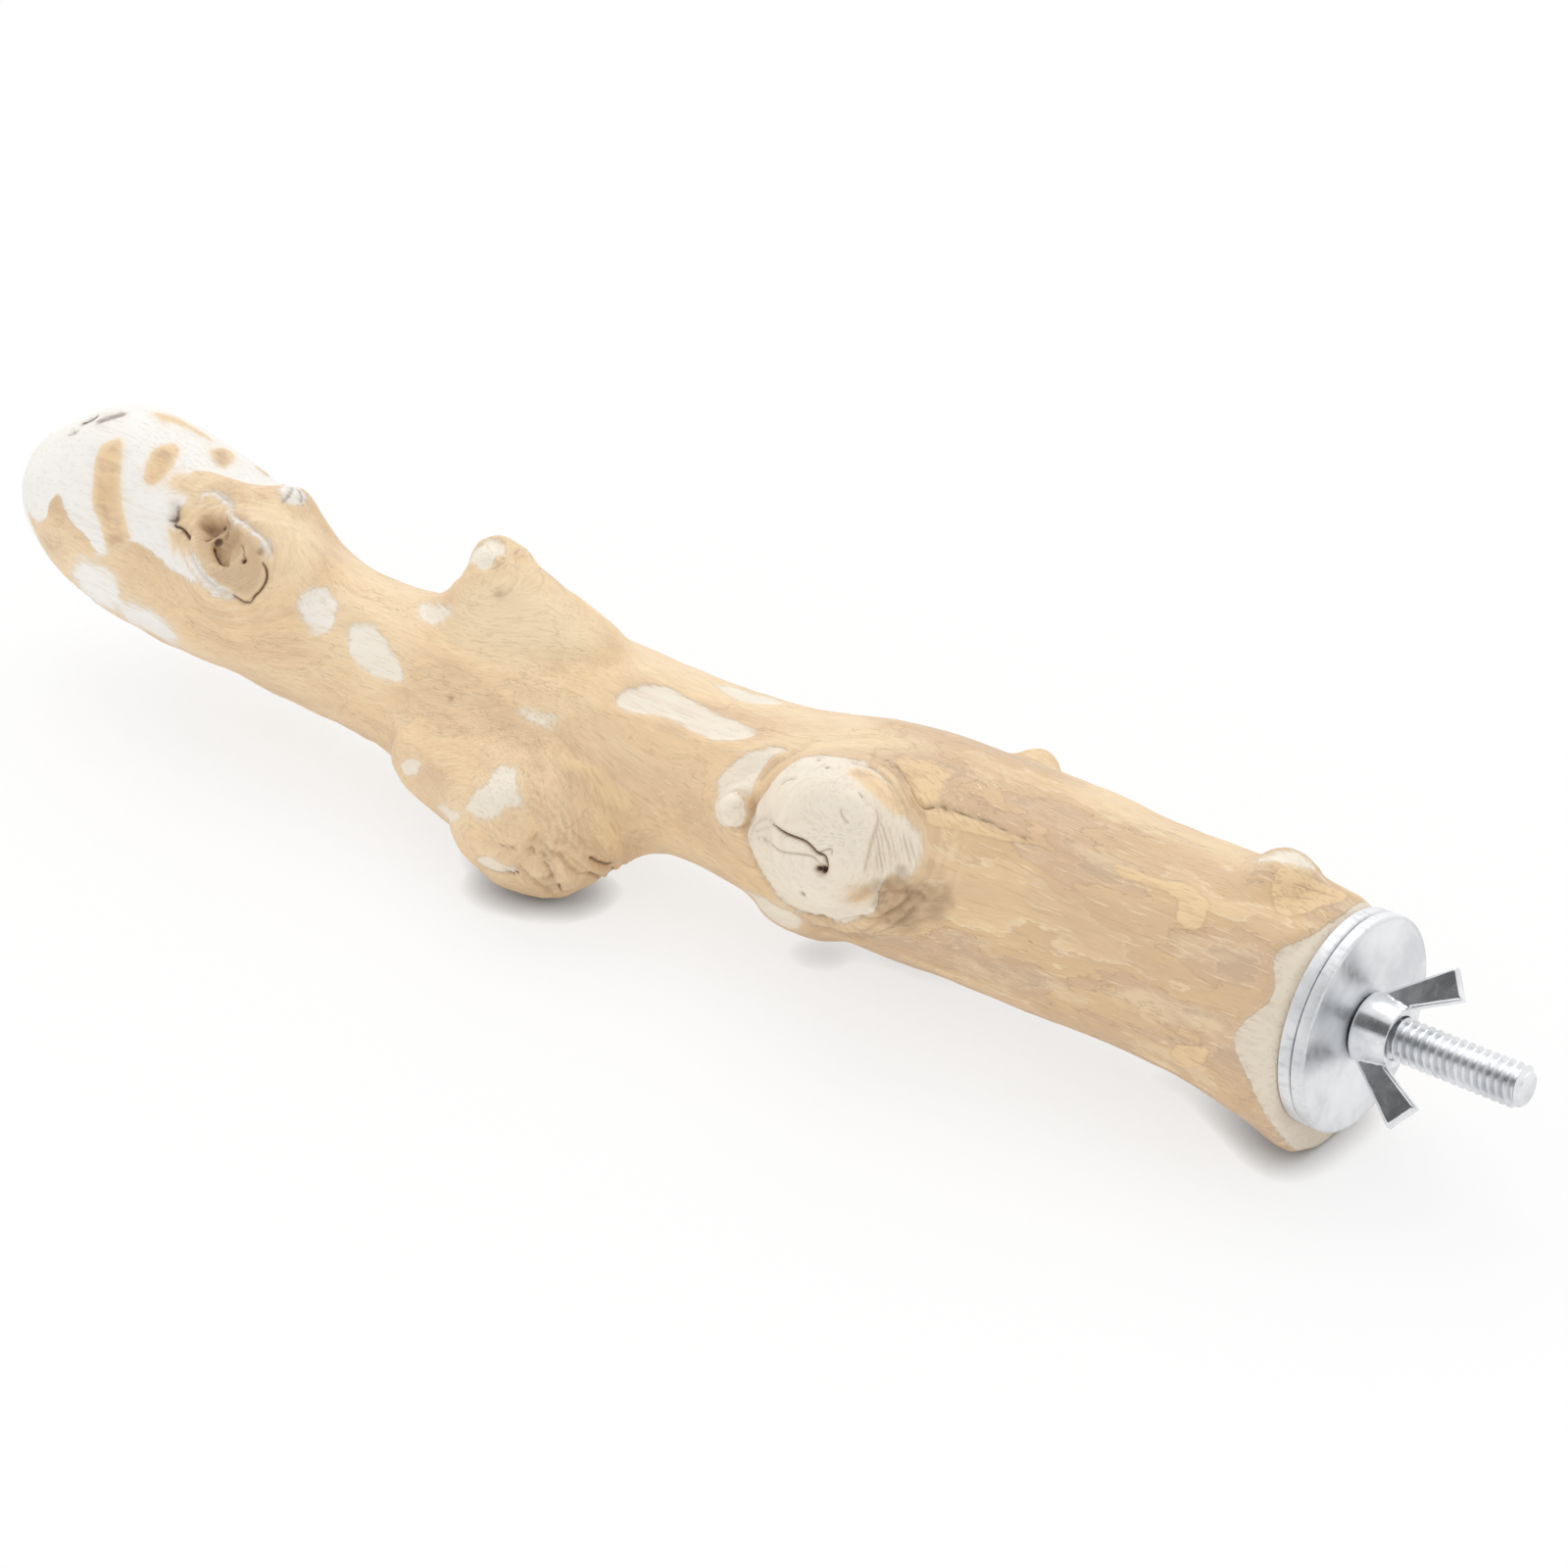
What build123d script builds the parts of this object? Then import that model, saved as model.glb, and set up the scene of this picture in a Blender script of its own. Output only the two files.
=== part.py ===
"""Bolt-on bird perch: a natural wood limb that two washers and a wing nut clamp to a cage.

Millimetres. The origin is on the bolt's axis, in the clamp plane where the two washers meet.
+X runs out along the bolt, the limb lies towards -X, and +Z is up as the perch lies on a table.
"""

import os
from math import cos, hypot, pi, radians, sin, sqrt

from build123d import *

# Hanger bolt: quarter-inch machine thread outside, lag thread in the wood
thread_diameter = 6.35
thread_length = 31.75
thread_lead_chamfer = 0.8
lag_diameter = 6.0
lag_length = 31.75
lag_point_length = 9.0
lag_point_diameter = 1.0
bolt_stand_out = 30.0

# Fender washers
washer_diameter = 31.75
washer_thickness = 2.1
washer_rim_bevel = 0.4

# Wing nut: round boss with two flat bars that spread like a V
nut_base_diameter = 10.2
nut_top_diameter = 8.6
nut_boss_height = 5.6
nut_base_bevel = 0.5
wing_span = 24.0
wing_height = 12.2
wing_tip_width = 4.9
wing_tip_slant = 35.0
wing_root_gap = 1.0
wing_root_width = 4.4
wing_thickness = 2.0
wing_edge_bevel = 0.3
wing_turn = 49.0

# Clearances, each on the radius
washer_clearance = 0.4
nut_thread_clearance = 0.05
pilot_clearance = 0.05

# Limb
limb_length = 254.5
limb_diameter = 34.0
limb_flats = 18
sawn_edge_bevel = 1.2
rest_height = 21.0
foot_wear = 0.3

# The limb from its sawn face to its tip, station by station: share of the length,
# sway across, rise, then width and height as shares of the limb's diameter
limb_stations = [
    (0.000, 0.0, -2.9, 1.00, 1.10),
    (0.030, 0.0, -1.5, 1.02, 1.06),
    (0.060, 0.0, -0.2, 0.99, 1.01),
    (0.110, 0.0, 0.2, 0.96, 0.96),
    (0.180, 0.0, 1.0, 0.98, 0.98),
    (0.250, 0.0, 1.0, 1.00, 1.00),
    (0.305, -0.3, 0.6, 1.00, 1.00),
    (0.355, -0.8, -0.4, 0.91, 0.91),
    (0.410, -1.2, -0.3, 0.81, 0.81),
    (0.455, -1.5, -0.3, 0.81, 0.81),
    (0.515, -2.9, -0.5, 0.96, 0.87),
    (0.580, -3.2, -0.8, 0.96, 0.88),
    (0.640, -3.0, -1.6, 0.82, 0.79),
    (0.695, -3.0, -2.0, 0.72, 0.72),
    (0.745, -2.8, -1.0, 0.74, 0.74),
    (0.800, -2.0, 1.8, 0.86, 0.86),
    (0.855, -1.0, 3.8, 0.97, 0.97),
    (0.905, -0.4, 4.8, 0.97, 0.97),
    (0.950, 0.2, 5.2, 0.82, 0.82),
    (0.985, 0.5, 5.2, 0.54, 0.54),
    (1.000, 0.5, 5.0, 0.24, 0.24),
]

# Grown knobs: share of the length, turn about the limb from +Y towards +Z, lean towards the
# bolt, how far the crown stands out of the limb, base length and crown diameter
sawn_knot = (0.292, 155.0, 0.0, 9.0, 34.0, 20.0)
knot_bud = (0.368, 157.0, 0.0, 4.0, 12.0, 6.0)
knot_swelling = (0.340, 233.0, 0.0, 2.2, 44.0, 16.0)
top_stub = (0.574, 87.0, -12.0, 13.2, 48.0, 8.0)
decayed_knot = (0.783, 129.0, 0.0, 5.0, 30.0, 15.0)
wrinkled_bump = (0.796, 64.0, 0.0, 2.4, 15.0, 9.0)
back_stub = (0.246, 30.0, 0.0, 3.6, 13.0, 6.0)
end_bump = (0.047, 82.0, 0.0, 4.0, 20.0, 9.0)
foot_nub = (0.630, 233.0, 0.0, 2.6, 22.0, 6.0)
grown_knobs = [
    sawn_knot,
    knot_bud,
    knot_swelling,
    top_stub,
    decayed_knot,
    wrinkled_bump,
    back_stub,
    end_bump,
    foot_nub,
]

# The decayed knot's hollow, a bowl that narrows inwards
hollow_mouth = 8.0
hollow_floor = 3.0
hollow_depth = 4.0

# Knobs that the perch lies on: share of the length, turn, lean, base length, crown diameter
front_foot = (0.534, 205.0, 15.0, 56.0, 25.0)
back_foot = (0.310, 318.0, 0.0, 22.0, 11.0)
resting_feet = [front_foot, back_foot]

# A knob's form: how deep in the limb it starts and how wide its base is there, and where the
# limb's skin lies, as shares of the limb's radius, then its dome's height to its crown's radius
knob_flats = 12
knob_root_depth = 0.32
knob_root_width = 0.76
knob_skin = 0.9
knob_dome = 0.35

# A knob's flank above the skin: share of the way up to its crown, then what is left of its
# base's spread along and across the limb
knob_flank = [(0.0, 0.8, 0.5), (0.45, 0.3, 0.2), (1.0, 0.0, 0.0)]

# A knob's dome: steps up from its crown, as angles
dome_angles = (0.0, 35.0, 62.0)

sawn_face_x = -washer_thickness


def limb_at(share):
    """Centre and mean radius of the limb at a share of its length, between two stations."""
    for near, far in zip(limb_stations, limb_stations[1:]):
        if share <= far[0]:
            break
    step = (share - near[0]) / (far[0] - near[0])
    sway, rise, width, height = (a + step * (b - a) for a, b in zip(near[1:], far[1:]))
    centre = Vector(sawn_face_x - share * limb_length, sway, rise)
    return centre, (width + height) / 4 * limb_diameter


def ring(half_length, half_width, flats):
    """An oval outline of flats, as a knife leaves on peeled wood."""
    turns = [2 * pi * step / flats for step in range(flats)]
    return Polygon(*[(half_length * cos(t), half_width * sin(t)) for t in turns], align=None)


def limb_shaft():
    """The bare limb: one skin of long flats through the stations, bevelled round its sawn face."""
    sections = []
    for share, sway, rise, width, height in limb_stations:
        centre = (sawn_face_x - share * limb_length, sway, rise)
        outline = ring(width * limb_diameter / 2, height * limb_diameter / 2, limb_flats)
        sections.append(Plane(origin=centre, x_dir=(0, 1, 0), z_dir=(1, 0, 0)) * outline)
    shaft = loft(sections)
    sawn_edge = shaft.faces().sort_by(Axis.X)[-1].edges()
    return chamfer(sawn_edge, sawn_edge_bevel)


def growth_plane(share, turn, lean):
    """A plane at the limb's heart whose normal is the way a knob grows."""
    centre, _ = limb_at(share)
    across, upward = cos(radians(turn)), sin(radians(turn))
    upright, tilt = cos(radians(lean)), sin(radians(lean))
    outward = (tilt, upright * across, upright * upward)
    along = (upright, -tilt * across, -tilt * upward)
    return Plane(origin=centre, x_dir=along, z_dir=outward)


def knob(share, turn, lean, reach, base_length, crown_diameter):
    """A collar that rises from inside the limb, flares in to its crown and ends in a dome."""
    growth = growth_plane(share, turn, lean)
    _, radius = limb_at(share)
    crown = crown_diameter / 2
    dome = crown * knob_dome
    brow = reach - dome
    skin = min(radius * knob_skin, brow - dome)
    half_length = base_length / 2
    half_width = min(half_length, radius * knob_root_width)
    root = ring(half_length, half_width, knob_flats)
    flank = [growth * Pos(0, 0, radius * knob_root_depth) * root]
    for rise, left_along, left_across in knob_flank:
        outline = ring(
            crown + (half_length - crown) * left_along,
            crown + (half_width - crown) * left_across,
            knob_flats,
        )
        flank.append(growth * Pos(0, 0, skin + rise * (brow - skin)) * outline)
    cap = []
    for angle in dome_angles:
        size = crown * cos(radians(angle))
        height = brow + dome * sin(radians(angle))
        cap.append(growth * Pos(0, 0, height) * ring(size, size, knob_flats))
    return loft(flank) + loft(cap, ruled=True)


def knot_hollow(share, turn, lean, stand_out):
    """The bowl that decay has left in a knot's crown, to cut away."""
    _, radius = limb_at(share)
    bowl = Cone(hollow_floor / 2, hollow_mouth / 2, hollow_depth)
    return growth_plane(share, turn, lean) * Pos(0, 0, radius + stand_out - hollow_depth / 2) * bowl


def foot_reach(share, turn, lean, crown_diameter):
    """How far a foot runs from the limb's heart for the rim of its crown to wear on the table."""
    growth = growth_plane(share, turn, lean)
    down = -growth.z_dir.Z
    level = sqrt(1 - down**2)
    crown = crown_diameter / 2
    dome = crown * knob_dome
    drop = rest_height + foot_wear + growth.origin.Z
    return (drop - hypot(dome * down, crown * level)) / down + dome


def bolt(grow=0.0):
    """The hanger bolt from its lag point to its free end, or its pilot hole when grown."""
    free_end = sawn_face_x + bolt_stand_out
    shoulder = free_end - thread_length
    point = shoulder - lag_length
    thread = thread_diameter / 2 + grow
    lag = lag_diameter / 2 + grow
    outline = Polyline(
        (point - grow, 0),
        (point - grow, lag_point_diameter / 2 + grow),
        (point + lag_point_length, lag),
        (shoulder - grow, lag),
        (shoulder - grow, thread),
        (free_end - thread_lead_chamfer, thread),
        (free_end, thread - thread_lead_chamfer),
        (free_end, 0),
        close=True,
    )
    return revolve(make_face(outline), Axis.X)


def limb():
    """The whole limb: shaft, knobs and feet as one grown piece, lying flat, with a pilot hole."""
    growths = []
    for share, turn, lean, stand_out, base_length, crown in grown_knobs:
        _, radius = limb_at(share)
        growths.append(knob(share, turn, lean, radius + stand_out, base_length, crown))
    for share, turn, lean, base_length, crown in resting_feet:
        reach = foot_reach(share, turn, lean, crown)
        growths.append(knob(share, turn, lean, reach, base_length, crown))
    wood = limb_shaft() + growths - knot_hollow(*decayed_knot[:4])
    wood = split(wood, Plane.XY.offset(-rest_height), keep=Keep.TOP)
    wood = split(wood, Plane.YZ.offset(sawn_face_x), keep=Keep.BOTTOM)
    return wood - bolt(pilot_clearance)


def washer(start):
    """A punched fender washer with a bevelled rim round its outer face."""
    inner, outer = thread_diameter / 2 + washer_clearance, washer_diameter / 2
    face = start + washer_thickness
    ring = make_face(
        Polyline((start, inner), (start, outer), (face, outer), (face, inner), close=True)
    )
    rim = ring.vertices().sort_by(Axis.Y)[-2:].sort_by(Axis.X)[-1]
    return revolve(chamfer(rim, washer_rim_bevel), Axis.X)


def wing():
    """One flat bar of the nut, in the plane of +Y, from inside the boss to its slanted tip."""
    seat = washer_thickness
    tip_rise = wing_tip_width * sin(radians(wing_tip_slant))
    tip_run = wing_tip_width * cos(radians(wing_tip_slant))
    inside = thread_diameter / 2
    low = seat + wing_root_gap
    high = low + wing_root_width
    outline = Polyline(
        (low, inside),
        (low, nut_base_diameter / 2),
        (seat + wing_height - tip_rise, wing_span / 2),
        (seat + wing_height, wing_span / 2 - tip_run),
        (high, nut_top_diameter / 2),
        (high, inside),
        close=True,
    )
    bar = extrude(make_face(outline), wing_thickness / 2, both=True)
    edges = bar.faces().filter_by(Axis.Z).edges()
    return chamfer(edges, wing_edge_bevel)


def wing_nut():
    """The nut, seated on the outer washer, with its plain bore in place of the thread."""
    seat = washer_thickness
    top = seat + nut_boss_height
    outline = Polyline(
        (seat, 0),
        (seat, nut_base_diameter / 2 - nut_base_bevel),
        (seat + nut_base_bevel, nut_base_diameter / 2),
        (top, nut_top_diameter / 2),
        (top, 0),
        close=True,
    )
    nut = revolve(make_face(outline), Axis.X)
    for half_turn in (0, 180):
        nut = nut + Rot(wing_turn + half_turn, 0, 0) * wing()
    bore = Circle(thread_diameter / 2 + nut_thread_clearance)
    return nut - extrude(Plane.YZ * bore, seat + wing_height)


def main():
    """Build every piece and write it to its own file."""
    os.makedirs("parts", exist_ok=True)
    pieces = {
        "limb": limb(),
        "hanger_bolt": bolt(),
        "inner_washer": washer(-washer_thickness),
        "outer_washer": washer(0.0),
        "wing_nut": wing_nut(),
    }
    for name, piece in pieces.items():
        export_step(piece, f"parts/{name}.step")


main()
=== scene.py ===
"""Bird perch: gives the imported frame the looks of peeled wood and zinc-plated hardware.

Laid out as an add-on and run as a script. Lengths are metres in the row frame; the limb's
surface fields are worked out in millimetres. Places on the limb are held as pixels of the
1600 x 1600 photograph and cast from the fitted camera on to the limb itself.
"""

import math

import bmesh
import bpy
import numpy as np
from bpy.props import FloatProperty, FloatVectorProperty, IntProperty, PointerProperty
from bpy.types import Operator, Panel, PropertyGroup
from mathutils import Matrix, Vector, noise
from mathutils.bvhtree import BVHTree


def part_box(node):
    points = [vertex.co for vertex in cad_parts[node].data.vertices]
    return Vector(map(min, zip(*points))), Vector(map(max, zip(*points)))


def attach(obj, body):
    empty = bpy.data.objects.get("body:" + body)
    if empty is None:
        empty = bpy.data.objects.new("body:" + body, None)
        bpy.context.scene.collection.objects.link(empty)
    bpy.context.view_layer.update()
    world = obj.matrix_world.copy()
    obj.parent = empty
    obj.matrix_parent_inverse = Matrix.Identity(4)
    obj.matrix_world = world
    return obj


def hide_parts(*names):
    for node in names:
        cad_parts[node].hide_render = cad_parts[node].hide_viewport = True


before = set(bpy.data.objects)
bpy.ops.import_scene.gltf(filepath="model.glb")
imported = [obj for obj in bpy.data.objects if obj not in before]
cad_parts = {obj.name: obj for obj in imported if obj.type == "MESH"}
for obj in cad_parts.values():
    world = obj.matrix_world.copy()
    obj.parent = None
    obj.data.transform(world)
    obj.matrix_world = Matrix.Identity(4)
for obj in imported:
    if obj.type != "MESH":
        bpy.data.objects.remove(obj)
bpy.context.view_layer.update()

bl_info = {
    "name": "Bird perch",
    "version": (1, 0, 0),
    "blender": (4, 5, 0),
    "location": "View3D > Sidebar > Perch",
    "description": "Builds a bolt-on bird perch of peeled wood with zinc-plated hardware",
    "category": "Object",
}

MM = 0.001
PHOTO_SIDE = 1600
SAWN_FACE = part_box("limb")[1].x / MM
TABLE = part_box("limb")[0].z / MM
LIMB_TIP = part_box("limb")[0].x / MM


def srgb(red, green, blue):
    """A display colour of 0 to 255 as the linear colour that sockets take."""
    shares = [value / 255 for value in (red, green, blue)]
    return tuple(s / 12.92 if s <= 0.04045 else ((s + 0.055) / 1.055) ** 2.4 for s in shares)


def colour(name, description, rgb):
    """A colour that a user can change."""
    return FloatVectorProperty(
        name=name, description=description, default=srgb(*rgb), subtype="COLOR", min=0.0, max=1.0
    )


def length(name, description, millimetres):
    """A length that a user can change, given in millimetres and kept in metres."""
    return FloatProperty(
        name=name,
        description=description,
        default=millimetres * MM,
        min=0.0,
        precision=5,
        subtype="DISTANCE",
        unit="LENGTH",
    )


# Places on the limb, in the photograph's pixels

# The limb's heart, from its sawn end to its tip
HEART_LINE = ((1310, 1040), (90, 500))
CAST_STEPS = 60

# How far round an outline or a line its field is worked out, in millimetres
FIELD_REACH = 6.0

# How near to a corner it is cut, as a share of a side, and the share of a line that tapers at an end
CORNER_CUT = 0.25
LINE_TAPER = 0.2

# How far skin has turned away from a patch's middle where the patch starts to end and where it
# has ended, and how far it still faces that way where the patch is worked out
PATCH_TURN = (-0.2, 0.1)
PATCH_BACK = -0.2
TINY = 1e-9

# How often normals are evened out before a patch ends where the skin turns away, and how often
# the carving is, so that steep edges have no teeth
NORMAL_ROUNDS = 10
EDGE_ROUNDS = 2

# Bare wood, where the inner bark is gone, and bare wood as a painted highlight along the top edge
BARE_OUTLINES = {
    "knot cap": [
        (762, 849), (769, 828), (790, 797), (812, 776), (838, 767), (874, 770), (900, 792),
        (912, 815), (916, 850), (912, 880), (902, 896), (897, 912), (896, 927), (880, 936),
        (858, 940), (820, 931), (797, 915), (780, 893), (768, 868),
    ],
    "combed flank": [
        (898, 800), (925, 833), (943, 860), (938, 889), (915, 897), (894, 892), (890, 840),
    ],
    "bud": [(727, 826), (734, 812), (748, 806), (761, 815), (763, 834), (752, 847), (735, 844)],
    "ridge above the bud": [
        (729, 814), (737, 797), (748, 783), (764, 772), (782, 765), (800, 763), (806, 767),
        (792, 773), (780, 783), (772, 796), (768, 808), (758, 812), (744, 810),
    ],
    "below the cap": [
        (759, 906), (769, 911), (783, 917), (803, 927), (822, 938), (812, 952), (792, 945),
        (771, 929), (757, 915),
    ],
    "middle": [
        (632, 704), (669, 699), (696, 709), (726, 726), (771, 744), (774, 752), (736, 758),
        (715, 752), (688, 734), (648, 728), (626, 720),
    ],
    "middle, small": [(522, 724), (551, 724), (570, 736), (562, 743), (541, 736)],
    "over the foot": [
        (518, 780), (529, 786), (527, 804), (533, 818), (531, 823), (512, 824), (509, 832),
        (500, 837), (486, 837), (475, 827), (477, 818), (486, 807), (495, 801), (500, 792), (507, 783),
    ],
    "nub": [(407, 776), (428, 774), (431, 782), (420, 794), (409, 790)],
    "beside the foot": [(444, 821), (460, 824), (472, 832), (471, 837), (455, 840), (447, 829)],
    "foot ledge": [
        (484, 873), (503, 872), (518, 881), (528, 883), (530, 888), (522, 892), (508, 888), (490, 881),
    ],
    "neck": [
        (354, 636), (380, 638), (396, 655), (415, 690), (404, 698), (385, 691), (358, 676),
    ],
    "neck, top": [(426, 614), (447, 616), (466, 622), (450, 637), (428, 636)],
    "neck, left": [(303, 604), (330, 598), (346, 612), (342, 640), (322, 652), (306, 630)],
    "stub face": [
        (486, 553), (498, 551), (516, 554), (517, 565), (505, 570), (501, 580), (493, 583),
        (484, 577), (480, 566),
    ],
    # Painted highlight along the lit top edge, drawn as bare wood
    "top edge": [(728, 696), (747, 701), (798, 714), (800, 720), (760, 717), (735, 706)],
    "end bump": [
        (1277, 880), (1293, 870), (1316, 867), (1345, 874), (1361, 890), (1350, 893),
        (1330, 884), (1300, 879),
    ],
    "bleached tip": [
        (34, 536), (22, 500), (26, 470), (50, 440), (88, 420), (152, 416), (222, 450),
        (275, 482), (295, 498), (252, 494), (226, 486), (200, 478), (188, 490), (170, 508),
        (166, 535), (168, 560), (200, 588), (178, 586), (155, 564), (132, 548), (106, 570),
        (93, 558), (87, 546), (75, 536), (67, 523), (60, 501), (48, 515), (49, 530),
    ],
    "tip, low": [
        (74, 570), (104, 576), (122, 596), (126, 618), (108, 624), (90, 612), (74, 590),
    ],
    "tip, lowest": [
        (122, 612), (150, 618), (182, 645), (182, 662), (150, 654), (124, 632),
    ],
    "decayed knot, right rim": [
        (231, 520), (246, 530), (258, 538), (267, 546), (275, 555), (279, 565), (276, 571),
        (271, 566), (266, 556), (257, 546), (246, 537), (236, 529),
    ],
    "decayed knot, lower rim": [
        (187, 556), (192, 572), (202, 589), (214, 600), (228, 608), (240, 611), (240, 606),
        (229, 600), (218, 592), (208, 583), (200, 570), (196, 557),
    ],
    "decayed knot, left rim": [
        (160, 512), (172, 500), (186, 498), (196, 503), (190, 512), (182, 520), (179, 534),
        (180, 550), (186, 566), (195, 580), (206, 592), (196, 594), (178, 584), (166, 562),
        (160, 536),
    ],
    "decayed knot, arch": [
        (203, 508), (213, 500), (226, 503), (237, 513), (240, 523), (232, 520), (224, 511),
        (213, 507), (206, 512),
    ],
    "wrinkled bump": [(284, 500), (296, 495), (308, 504), (311, 516), (300, 521), (287, 517)],
}

# How many times softer than the others the edge of a patch is
SOFT_EDGES = {
    "ridge above the bud": 1.6, "below the cap": 2.0, "middle": 1.5, "middle, small": 2.5,
    "over the foot": 2.0, "nub": 1.5, "beside the foot": 2.0, "foot ledge": 1.5, "neck": 2.0,
    "neck, top": 2.5, "neck, left": 2.5, "stub face": 1.5, "top edge": 2.5, "end bump": 2.5,
    "tip, low": 6.0, "tip, lowest": 6.0, "decayed knot, right rim": 2.4,
    "decayed knot, left rim": 2.0, "decayed knot, lower rim": 2.4, "decayed knot, arch": 2.4,
    "wrinkled bump": 2.5, "knot cap": 0.5, "combed flank": 3.0, "saddle on the knot": 1.4,
    "spot on the knot": 2.5, "tip band": 2.5, "fuzzy spot": 1.5, "tip, top": 2.0,
    "beside the knot": 4.0, "gold over the foot": 5.0, "fringe": 1.6, "tip, left low": 2.5,
}

# Inner bark left on bare wood
TAN_OUTLINES = {
    "saddle on the knot": [
        (861, 787), (876, 781), (893, 790), (907, 803), (921, 818), (927, 833), (912, 832),
        (895, 815), (877, 799),
    ],
    "spot on the knot": [(861, 913), (872, 907), (885, 905), (893, 910), (888, 920), (870, 924)],
    "tip stripe": [
        (127, 445), (105, 451), (97, 463), (94, 480), (92, 517), (99, 527), (104, 545),
        (109, 571), (134, 553), (128, 536), (122, 499), (124, 470),
    ],
    "tip patch": [(187, 453), (162, 453), (150, 465), (145, 487), (149, 497), (161, 494), (174, 483)],
    "tip band": [
        (184, 480), (200, 487), (219, 485), (229, 493), (223, 499), (206, 499), (203, 510),
        (188, 507), (165, 494), (174, 488),
    ],
    "tip, top": [(154, 420), (168, 422), (190, 430), (222, 452), (205, 446), (181, 432), (164, 431)],
    "fuzzy spot": [(214, 457), (229, 456), (241, 464), (237, 474), (226, 478), (216, 468)],
    "beside the wrinkled bump": [(253, 497), (279, 495), (282, 511), (271, 519), (255, 511)],
    "arc under the arch": [
        (204, 512), (211, 508), (221, 512), (227, 521), (222, 520), (215, 514), (208, 515),
    ],
    "fringe": [
        (169, 536), (180, 541), (190, 548), (197, 560), (193, 570), (189, 558), (185, 570), (181, 556),
        (177, 566), (173, 552),
    ],
    "tip, left low": [(34, 538), (48, 531), (60, 545), (74, 560), (68, 574), (48, 566)],
    "stub, right": [
        (505, 549), (521, 547), (532, 553), (541, 562), (551, 577), (537, 581), (516, 575),
        (518, 560),
    ],
}

# Golden flakes of the outermost bark
GOLD_OUTLINES = {
    "beside the knot": [
        (913, 777), (930, 775), (959, 782), (975, 791), (962, 800), (959, 819), (948, 823),
        (939, 828), (932, 812), (925, 796),
    ],
    "streak from the knot": [
        (946, 826), (957, 823), (985, 832), (1019, 844), (1026, 851), (1047, 857), (1044, 862),
        (1021, 858), (998, 851), (971, 846), (950, 844), (944, 837),
    ],
    "near end": [
        (1132, 881), (1150, 884), (1187, 900), (1205, 902), (1219, 909), (1235, 923), (1230, 936),
        (1224, 950), (1210, 948), (1201, 939), (1205, 925), (1198, 911), (1164, 900), (1143, 893),
    ],
    "near end, low": [
        (1198, 1065), (1221, 1067), (1235, 1070), (1231, 1083), (1214, 1090), (1196, 1083),
    ],
    "end flake": [
        (1299, 903), (1303, 885), (1327, 893), (1346, 901), (1363, 909), (1375, 914), (1369, 921),
        (1348, 927), (1327, 936), (1306, 937), (1299, 922),
    ],
    "gold over the foot": [
        (570, 772), (590, 774), (615, 790), (640, 812), (654, 830), (632, 822), (596, 796),
    ],
}
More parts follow.
